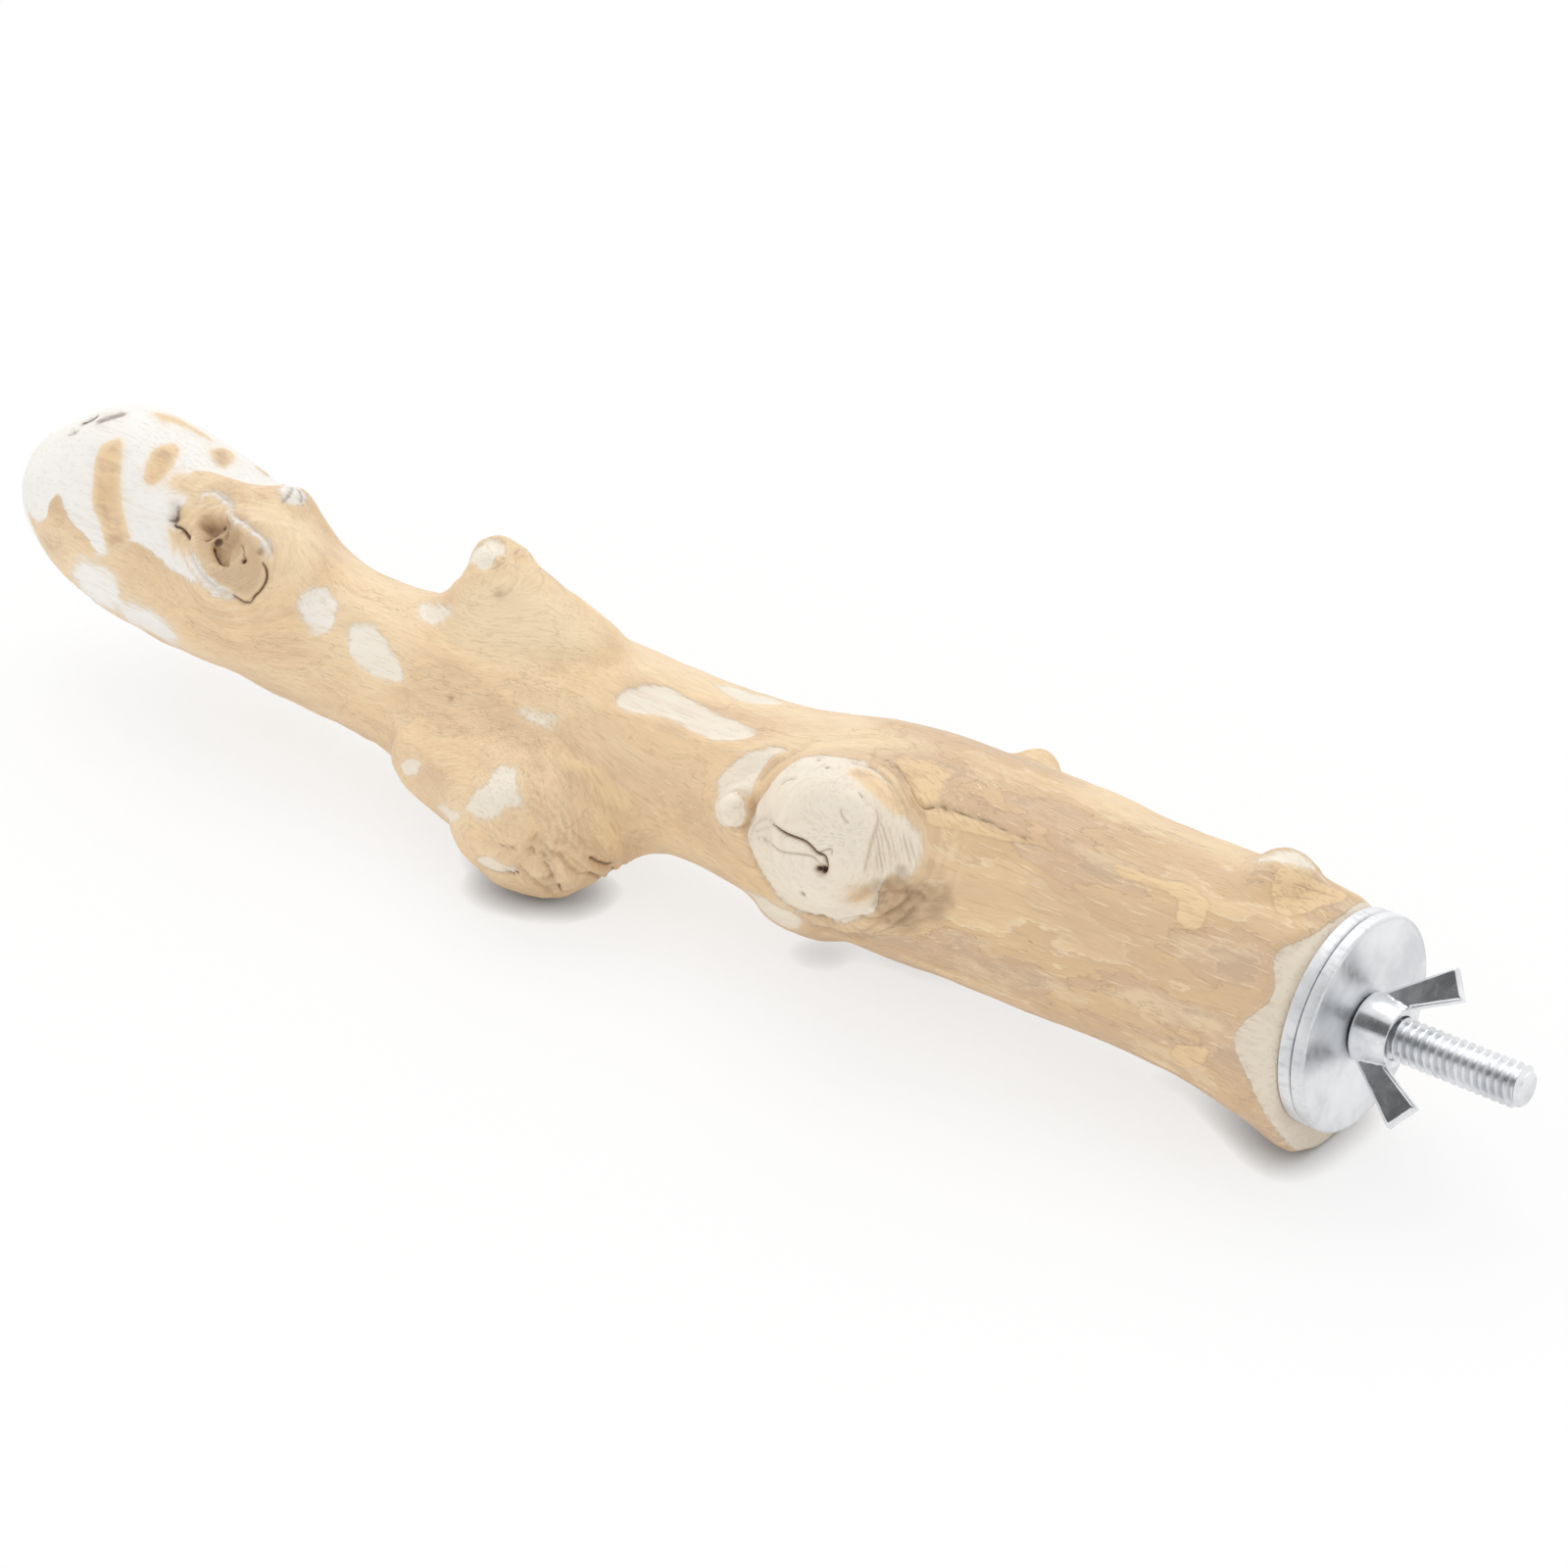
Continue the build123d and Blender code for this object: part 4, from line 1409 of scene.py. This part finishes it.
def square_thread_ends(start, end, crest, depth, pitch, steps):
    """A thread from start to end, made two turns longer and cut square at both ends."""
    bm = bmesh.new()
    thread_run(bm, start - 2 * pitch, end + 2 * pitch, crest, depth, pitch, steps)
    bmesh.ops.remove_doubles(bm, verts=bm.verts, dist=MERGE_REACH)
    cut_end(bm, end, True)
    cut_end(bm, start, False)
    return bm


def bolt_shape(zinc):
    """The hanger bolt: a machine thread with a chamfered end, and a lag thread to a point."""
    low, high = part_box("hanger_bolt")
    crest = high.y
    shoulder = high.x - zinc.thread_length
    bm = square_thread_ends(
        shoulder, high.x, crest, zinc.thread_depth, zinc.thread_pitch, zinc.turn_steps
    )
    for vert in bm.verts:
        limit = crest - zinc.thread_lead + (high.x - vert.co.x)
        radius = math.hypot(vert.co.y, vert.co.z)
        if radius > limit:
            vert.co.yz = vert.co.yz * (limit / radius)
    lag = square_thread_ends(
        low.x, shoulder, zinc.lag_radius, zinc.lag_depth, zinc.lag_pitch, zinc.turn_steps
    )
    for vert in lag.verts:
        share = min(1.0, (vert.co.x - low.x) / zinc.lag_point)
        vert.co.yz = vert.co.yz * (LAG_TIP + (1 - LAG_TIP) * share)
    spare = bpy.data.meshes.new("lag")
    lag.to_mesh(spare)
    lag.free()
    bm.from_mesh(spare)
    bpy.data.meshes.remove(spare)
    bmesh.ops.recalc_face_normals(bm, faces=bm.faces)
    return bm


def nut_mesh(zinc):
    """The wing nut with the soft edges of a casting."""
    skin = even_skin(merged_copy("wing_nut"), zinc.nut_quad)
    set_points(skin, softened(read_rows(skin.vertices, "co"), edge_pairs(skin), CAST_ROUNDS))
    return skin


# Materials

class Shader:
    """The node tree of a material or of the world, built one node at a time."""

    def __init__(self, owner):
        self.material = owner
        owner.use_nodes = True
        self.tree = owner.node_tree
        self.tree.nodes.clear()

    def node(self, kind, inputs=None, **settings):
        """Adds a node; an input that is a socket is linked, and any other is set."""
        made = self.tree.nodes.new(kind)
        for name, value in settings.items():
            setattr(made, name, value)
        for key, value in (inputs or {}).items():
            socket = made.inputs[key]
            if isinstance(value, bpy.types.NodeSocket):
                self.tree.links.new(value, socket)
            else:
                socket.default_value = value
        return made

    def field(self, name):
        """A number of the piece's own from its mesh."""
        return self.node("ShaderNodeAttribute", attribute_name=name).outputs["Fac"]

    def noise(self, vector, stretch, detail=3.0, rough=0.55, shift=0.0):
        """Noise of 0 to 1, with a scale for each axis."""
        placed = self.node(
            "ShaderNodeMapping", {"Vector": vector, "Scale": stretch, "Location": (shift, shift, shift)}
        )
        texture = self.node(
            "ShaderNodeTexNoise",
            {"Vector": placed.outputs["Vector"], "Scale": 1.0, "Detail": detail, "Roughness": rough},
        )
        return texture.outputs["Fac"]

    def step(self, value, low, high, to_low=0.0, to_high=1.0):
        """A smooth rise from one number to another as a value goes from low to high."""
        if low > high:
            low, high, to_low, to_high = high, low, to_high, to_low
        ranged = self.node(
            "ShaderNodeMapRange",
            {"Value": value, "From Min": low, "From Max": high, "To Min": to_low, "To Max": to_high},
            interpolation_type="SMOOTHSTEP",
        )
        return ranged.outputs["Result"]

    def math(self, operation, *values):
        """One sum of two or three numbers."""
        return self.node("ShaderNodeMath", dict(enumerate(values)), operation=operation).outputs[0]

    def ramp(self, value, stops):
        """Colours that follow a number, each from its own place on."""
        node = self.node("ShaderNodeValToRGB", {"Fac": value})
        elements = node.color_ramp.elements
        elements[1].position = 1.0
        elements[1].color = (*stops[-1][1], 1.0)
        elements[0].position = stops[0][0]
        elements[0].color = (*stops[0][1], 1.0)
        for place, rgb in stops[1:-1]:
            elements.new(place).color = (*rgb, 1.0)
        return node.outputs["Color"]

    def mix(self, share, first, second, blend="MIX"):
        """One colour over another."""
        first, second = (
            value if isinstance(value, bpy.types.NodeSocket) else (*value, 1.0)
            for value in (first, second)
        )
        mixed = self.node(
            "ShaderNodeMix", {0: share, 6: first, 7: second}, data_type="RGBA", blend_type=blend
        )
        return mixed.outputs[2]

    def surface(self, **inputs):
        """The shader itself, joined to the output."""
        names = {key.replace("_", " "): value for key, value in inputs.items()}
        shader = self.node("ShaderNodeBsdfPrincipled", names)
        self.node("ShaderNodeOutputMaterial", {"Surface": shader.outputs["BSDF"]})
        return self.material


def peeled_wood(wood):
    """Layers of inner bark over bare wood, with fibres along the grain and dark splits."""
    make = Shader(bpy.data.materials.new("peeled_wood"))
    grain = make.node("ShaderNodeAttribute", attribute_name="grain").outputs["Vector"]
    place = make.node("ShaderNodeTexCoord").outputs["Object"]
    along_limb = make.node("ShaderNodeSeparateXYZ", {0: place}).outputs["X"]

    def streaks(along, across, detail, rough, shift=0.0):
        """Noise that follows the grain, with its waves in a millimetre along and across it."""
        return make.noise(grain, (along, across, across), detail, rough, shift)

    def tint(colour_below, value, low, high, share, colour_over, least=0.0):
        """Lays a colour over another where a value goes from low to high, up to a share."""
        return make.mix(make.step(value, low, high, least, share), colour_below, colour_over)

    ragged = make.math("SUBTRACT", streaks(0.3, 1.0, 5.0, 0.62), 0.5)
    feather = make.math("SUBTRACT", streaks(0.3, 1.5, 3.0, 0.6, 1.3), 0.5)
    fibre = streaks(0.3, 3.2, 3.0, 0.6)
    mottle = streaks(0.06, 0.16, 3.0, 0.5)
    blush = streaks(0.05, 0.15, 4.0, 0.6, 12.9)
    dashes = streaks(0.17, 2.4, 2.0, 0.5, 3.7)
    scores = streaks(0.13, 2.8, 2.0, 0.5, 9.1)
    streak = streaks(0.05, 0.7, 4.0, 0.6, 5.3)
    wavy = streaks(0.12, 0.5, 4.0, 0.6, 7.7)

    # Layers of bark, each with an edge of its own: a painted highlight where grey gives way to rose and
    # where tan gives way to gold, and a painted shadow where rose gives way to tan
    layer = make.math("MULTIPLY_ADD", ragged, 0.75, make.field("layer"))
    share = make.math("MULTIPLY_ADD", layer, RAMP_SCALE, RAMP_MIDDLE)
    grey_end, rose_end, tan_end = (RAMP_MIDDLE + RAMP_SCALE * edge for edge in LAYER_EDGES)
    lit_edge = Vector(wood.bark_rose).lerp(wood.bark_light, 0.45)
    shadowed_edge = Vector(wood.bark_rose).lerp(wood.bark_dark, 0.45)
    bark = make.ramp(share, [
        (0.0, wood.bark_grey), (grey_end - 0.035, wood.bark_grey), (grey_end - 0.012, lit_edge),
        (grey_end + 0.01, wood.bark_rose), (rose_end - 0.04, wood.bark_rose),
        (rose_end - 0.015, shadowed_edge), (rose_end, wood.bark_tan), (tan_end - 0.04, wood.bark_tan),
        (tan_end - 0.01, wood.bark_light), (tan_end + 0.03, wood.bark_gold), (1.0, wood.bark_gold),
    ])
    bark = tint(bark, mottle, 0.4, 0.65, 0.4, wood.bark_rose)

    # Paler towards the tip, partly painted light on the brighter far part, with a blush, light dashes
    # and dark scores
    bark = tint(bark, along_limb, PALE_ENDS[0] * MM, PALE_ENDS[1] * MM, 0.7, wood.bark_pale)
    bark = tint(bark, blush, 0.46, 0.62, 0.5, wood.bark_rose)
    bark = tint(bark, blush, 0.46, 0.34, 0.5, wood.bark_light)
    bark = tint(bark, dashes, 0.59, 0.65, 0.5, wood.bark_light)
    bark = tint(bark, scores, 0.6, 0.68, 0.3, wood.bark_dark)
    # The pale field: thin bark, paler crests, and painted highlights
    bark = make.mix(make.field("pale"), bark, wood.bark_light)

    # Bare wood, bleached at the tip
    bleach_start, bleach_end = (end * MM for end in BLEACH_ENDS)
    naked = tint(wood.bare_wood, along_limb, bleach_start, bleach_end, 1.0, wood.bleached_wood)
    naked = tint(naked, streak, 0.52, 0.75, 0.22, wood.bark_rose)

    def edged(name, scale, width):
        """1 inside a patch, with a ragged edge of the given width."""
        waved = make.math("MULTIPLY_ADD", ragged, scale, make.field(name))
        frayed = make.math("MULTIPLY_ADD", feather, 0.6 * scale, waved)
        return make.step(frayed, -width, width)

    def margin(name, scale, width, patch, share):
        """A share of the band just outside a patch, and less of it inside."""
        band = make.math("SUBTRACT", edged(name, scale, width), patch)
        return make.math("MULTIPLY", band, share)

    is_bare = edged("bare", 0.9, 0.25)
    is_tan = edged("tan", 0.8, 0.4)
    is_gold = edged("gold", 0.9, 0.2)
    shade = make.mix(margin("bare", 0.9, 0.9, is_bare, 0.7), bark, wood.bark_light)
    shade = make.mix(is_bare, shade, naked)

    # Inner bark that is left on bare wood
    tanned = tint(wood.bark_tan, scores, 0.5, 0.7, 0.4, wood.bark_dark)
    tanned = tint(tanned, mottle, 0.35, 0.6, 0.7, wood.bark_pale, least=0.2)
    tanned = tint(tanned, wavy, 0.45, 0.6, 0.7, wood.bark_rose)
    tanned = tint(tanned, wavy, 0.56, 0.66, 0.45, wood.bark_dark)
    tanned = tint(tanned, make.field("tan"), 0.0, 1.8, 0.0, wood.bark_light, least=0.7)
    shade = make.mix(margin("tan", 0.8, 1.3, is_tan, 0.6), shade, wood.bark_light)
    shade = make.mix(is_tan, shade, tanned)

    # Golden flakes, each with a dark margin
    shade = make.mix(margin("gold", 0.9, 0.7, is_gold, 0.8), shade, wood.bark_dark)
    golden = tint(wood.bark_gold, dashes, 0.5, 0.66, 0.6, wood.bark_tan)
    shade = make.mix(is_gold, shade, golden)

    # Fibres, soil with painted shade, and the dark of splits with painted shadow lines
    threads = make.math(
        "MULTIPLY", make.step(fibre, 0.35, 0.75), make.step(is_bare, 0.0, 1.0, 0.16, 0.05)
    )
    shade = make.mix(threads, shade, wood.bark_dark)
    shade = make.mix(make.field("soil_and_shade"), shade, wood.soil_and_shade)
    shade = make.mix(make.field("split"), shade, wood.split_brown)

    # Fine relief of fibres, dashes and one layer's edge
    fuzz = make.math("MULTIPLY", fibre, make.step(make.field("bare"), -0.5, 0.5, 0.5, 0.15))
    raised = make.math("MULTIPLY_ADD", is_bare, -1.0, fuzz)
    stepped = make.math(
        "MULTIPLY", make.step(layer, LAYER_EDGES[1] - 0.02, LAYER_EDGES[1]),
        make.step(is_bare, 0.0, 1.0, 0.4, 0.0),
    )
    raised = make.math("ADD", stepped, raised)
    raised = make.math("MULTIPLY_ADD", make.step(dashes, 0.58, 0.64), 0.4, raised)
    bump = make.node(
        "ShaderNodeBump", {"Height": raised, "Strength": 0.8, "Distance": WOOD_RELIEF * MM}
    )
    return make.surface(
        Base_Color=shade,
        Roughness=make.step(fibre, 0.3, 0.7, 0.42, 0.6),
        Specular_IOR_Level=0.5,
        Normal=bump.outputs["Normal"],
    )


def zinc_plate(name, zinc, scratch, clouds, dullness, rim=None):
    """Bright zinc plate: soft clouds, fine marks, and rough shear marks past the radius rim."""
    make = Shader(bpy.data.materials.new(name))
    place = make.node("ShaderNodeTexCoord").outputs["Object"]
    cloud = make.noise(place, (clouds, clouds, clouds), 4.0)
    marks = make.noise(place, (scratch, scratch, scratch), 3.0, 0.6)
    tone = make.mix(make.step(cloud, 0.35, 0.7), zinc.zinc, zinc.dull_zinc)
    rough = make.step(marks, 0.3, 0.7, dullness, dullness + 0.12)
    bumps = make.math("MULTIPLY", marks, 0.3)
    metal = 1.0
    if rim:
        across = make.node("ShaderNodeVectorMath", {0: place, 1: (0.0, 1.0, 1.0)}, operation="MULTIPLY")
        radius = make.node("ShaderNodeVectorMath", {0: across.outputs[0]}, operation="LENGTH")
        sheared = make.step(radius.outputs["Value"], rim - SHEAR_FADE * MM, rim)
        tears = make.noise(place, SHEAR_TEARS, 3.0, 0.6, 2.0)
        bumps = make.math("MULTIPLY_ADD", make.math("MULTIPLY", sheared, tears), 1.5, bumps)
        rough = make.math("MULTIPLY_ADD", sheared, 0.2, rough)
        metal = make.math("MULTIPLY_ADD", sheared, -0.5, 1.0)
        torn = make.math("MULTIPLY", sheared, make.step(tears, 0.5, 0.75, 0.0, 0.3))
        tone = make.mix(torn, tone, zinc.dark_zinc)
    bump = make.node(
        "ShaderNodeBump", {"Height": bumps, "Strength": 0.5, "Distance": ZINC_RELIEF * MM}
    )
    return make.surface(
        Base_Color=tone, Metallic=metal, Roughness=rough, Normal=bump.outputs["Normal"]
    )


# Pieces

def place_piece(name, shape, material, body, node):
    """Makes an object of a finished mesh or bmesh that rides on a body and stands for a node."""
    mesh = shape
    if isinstance(shape, bmesh.types.BMesh):
        mesh = bpy.data.meshes.new(name)
        shape.to_mesh(mesh)
        shape.free()
    mesh.name = name
    mesh.materials.clear()
    mesh.materials.append(material)
    piece = bpy.data.objects.new(name, mesh)
    bpy.context.scene.collection.objects.link(piece)
    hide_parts(node)
    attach(piece, body)
    return piece


def shade_by_angle(piece, degrees):
    """Smooth faces, with a crease wherever two faces meet at a greater angle."""
    piece.data.polygons.foreach_set("use_smooth", [True] * len(piece.data.polygons))
    piece.data.set_sharp_from_angle(angle=math.radians(degrees))


class PERCH_OT_limb(Operator):
    """Grows the peeled limb over its solid, with its bark layers, knots and splits"""

    bl_idname = "perch.limb"
    bl_label = "Limb"

    def execute(self, context):
        wood, stage = context.scene.perch_wood, context.scene.perch_stage
        skin = even_skin(merged_copy("limb"), wood.skin_quad)
        blend_growths(skin)
        swell_growths(skin, stage)
        fill_creases(skin, stage)
        refine_skin(skin, stage)
        carve_limb(skin, wood, stage)
        piece = place_piece("peeled_limb", skin, peeled_wood(wood), "perch", "limb")
        shade_by_angle(piece, degrees=60)
        return {"FINISHED"}


class PERCH_OT_bolt(Operator):
    """Cuts the hanger bolt's machine thread and lag thread"""

    bl_idname = "perch.bolt"
    bl_label = "Hanger bolt"

    def execute(self, context):
        zinc = context.scene.perch_zinc
        finish = zinc_plate("bolt_zinc", zinc, scratch=900.0, clouds=260.0, dullness=0.3)
        piece = place_piece(
            "threaded_bolt", bolt_shape(zinc), finish, "perch", "hanger_bolt"
        )
        shade_by_angle(piece, degrees=25)
        return {"FINISHED"}


class PERCH_OT_washers(Operator):
    """Punches the two fender washers"""

    bl_idname = "perch.washers"
    bl_label = "Washers"

    def execute(self, context):
        zinc = context.scene.perch_zinc
        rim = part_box("outer_washer")[1].y - zinc.rim_round
        finish = zinc_plate("washer_zinc", zinc, scratch=700.0, clouds=110.0, dullness=0.28, rim=rim)
        for node in ("inner_washer", "outer_washer"):
            piece = place_piece(
                f"punched_{node}", washer_shape(node, zinc), finish, node, node
            )
            shade_by_angle(piece, degrees=40)
        return {"FINISHED"}


class PERCH_OT_wing_nut(Operator):
    """Casts the wing nut"""

    bl_idname = "perch.wing_nut"
    bl_label = "Wing nut"

    def execute(self, context):
        zinc = context.scene.perch_zinc
        finish = zinc_plate("nut_zinc", zinc, scratch=700.0, clouds=300.0, dullness=0.16)
        piece = place_piece("cast_wing_nut", nut_mesh(zinc), finish, "wing_nut", "wing_nut")
        shade_by_angle(piece, degrees=60)
        return {"FINISHED"}


# Stage

def seen_directly(make):
    """1 for what the camera sees, also in a mirror or through glass, and 0 for other light."""
    path = make.node("ShaderNodeLightPath").outputs
    mirrored = make.math("MAXIMUM", path["Is Glossy Ray"], path["Is Transmission Ray"])
    return make.math("MAXIMUM", path["Is Camera Ray"], mirrored)


def make_floor(stage):
    """A white table top under the perch, which keeps the perch's shadow."""
    bm = bmesh.new()
    bmesh.ops.create_grid(bm, x_segments=1, y_segments=1, size=stage.floor_side / 2)
    bmesh.ops.translate(bm, verts=bm.verts, vec=(0.0, 0.0, TABLE * MM))
    mesh = bpy.data.meshes.new("table_top")
    bm.to_mesh(mesh)
    bm.free()
    make = Shader(bpy.data.materials.new("table_top"))
    openness = make.node(
        "ShaderNodeAmbientOcclusion", {"Distance": stage.contact_reach}, samples=CONTACT_SAMPLES
    ).outputs["AO"]
    lightness = make.math("POWER", openness, CONTACT_POWER)
    white = make.node("ShaderNodeEmission", {"Strength": lightness})
    table = make.node("ShaderNodeBsdfDiffuse", {"Color": (*stage.floor_colour, 1.0)})
    share = make.math("MULTIPLY", seen_directly(make), stage.floor_white)
    mixed = make.node("ShaderNodeMixShader", {0: share, 1: table.outputs[0], 2: white.outputs[0]})
    make.node("ShaderNodeOutputMaterial", {"Surface": mixed.outputs[0]})
    mesh.materials.append(make.material)
    floor = bpy.data.objects.new("table_top", mesh)
    bpy.context.scene.collection.objects.link(floor)


def make_world(stage):
    """Even light all round; the camera sees it white, and metal mirrors its unlit side too."""
    world = bpy.data.worlds.new("studio")
    bpy.context.scene.world = world
    make = Shader(world)
    way = make.node("ShaderNodeTexCoord").outputs["Generated"]
    narrowed = make.node("ShaderNodeVectorMath", {0: way, 1: DARK_NARROWING}, operation="MULTIPLY")
    even = make.node("ShaderNodeVectorMath", {0: narrowed.outputs[0]}, operation="NORMALIZE")
    towards = make.node(
        "ShaderNodeVectorMath",
        {0: even.outputs[0], 1: Vector(stage.dark_way).normalized()},
        operation="DOT_PRODUCT",
    )
    path = make.node("ShaderNodeLightPath").outputs
    unlit = make.math(
        "MULTIPLY", make.step(towards.outputs["Value"], *DARK_EDGE), path["Is Glossy Ray"]
    )
    level = make.math("MULTIPLY_ADD", unlit, stage.dark_level - 1.0, 1.0)
    dome = make.node("ShaderNodeBackground", {"Color": WHITE, "Strength": stage.dome_level})
    white = make.node("ShaderNodeBackground", {"Color": WHITE, "Strength": level})
    chosen = make.node(
        "ShaderNodeMixShader", {0: seen_directly(make), 1: dome.outputs[0], 2: white.outputs[0]}
    )
    make.node("ShaderNodeOutputWorld", {"Surface": chosen.outputs[0]})


def make_lamp(stage):
    """One wide soft lamp above and behind the perch."""
    data = bpy.data.lights.new("soft_lamp", "SUN")
    data.energy = stage.lamp_level
    data.angle = stage.lamp_spread
    lamp = bpy.data.objects.new("soft_lamp", data)
    lamp.rotation_mode = "QUATERNION"
    lamp.rotation_quaternion = Vector(stage.lamp_from).to_track_quat("Z", "Y")
    bpy.context.scene.collection.objects.link(lamp)


def make_camera(stage):
    """The camera at the photograph's place."""
    _, _, back = camera_axes(stage)
    data = bpy.data.cameras.new("photo_camera")
    data.lens = stage.lens
    data.sensor_width = stage.sensor
    data.clip_start = CLIP_START
    camera = bpy.data.objects.new("photo_camera", data)
    camera.location = stage.camera_place
    camera.rotation_mode = "QUATERNION"
    camera.rotation_quaternion = (-back).to_track_quat("-Z", "Y")
    bpy.context.scene.collection.objects.link(camera)
    bpy.context.scene.camera = camera


class PERCH_OT_stage(Operator):
    """Sets the table top, the light and the camera"""

    bl_idname = "perch.stage"
    bl_label = "Stage"

    def execute(self, context):
        stage = context.scene.perch_stage
        context.scene.view_settings.view_transform = "Standard"
        make_floor(stage)
        make_world(stage)
        make_lamp(stage)
        make_camera(stage)
        return {"FINISHED"}


class PERCH_PT_build(Panel):
    """Lists the perch's pieces and their settings"""

    bl_idname = "PERCH_PT_build"
    bl_label = "Bird perch"
    bl_space_type = "VIEW_3D"
    bl_region_type = "UI"
    bl_category = "Perch"

    def draw(self, context):
        layout = self.layout
        for operator in OPERATORS:
            layout.operator(operator.bl_idname)
        for settings in SETTINGS:
            group = getattr(context.scene, settings)
            box = layout.box()
            for name in group.bl_rna.properties.keys():
                if name not in ("rna_type", "name"):
                    box.prop(group, name)


SETTINGS = {"perch_wood": PerchWood, "perch_zinc": PerchZinc, "perch_stage": PerchStage}
OPERATORS = (PERCH_OT_limb, PERCH_OT_bolt, PERCH_OT_washers, PERCH_OT_wing_nut, PERCH_OT_stage)


def register():
    """Makes the settings, operators and panel known to Blender."""
    for kind in (*SETTINGS.values(), *OPERATORS, PERCH_PT_build):
        bpy.utils.register_class(kind)
    for name, kind in SETTINGS.items():
        setattr(bpy.types.Scene, name, PointerProperty(type=kind))


def unregister():
    """Takes them away again."""
    for name in SETTINGS:
        delattr(bpy.types.Scene, name)
    for kind in (PERCH_PT_build, *reversed(OPERATORS), *reversed(SETTINGS.values())):
        bpy.utils.unregister_class(kind)


def main():
    """Builds every piece and the stage."""
    register()
    bpy.ops.perch.limb()
    bpy.ops.perch.bolt()
    bpy.ops.perch.washers()
    bpy.ops.perch.wing_nut()
    bpy.ops.perch.stage()


if __name__ == "__main__":
    main()
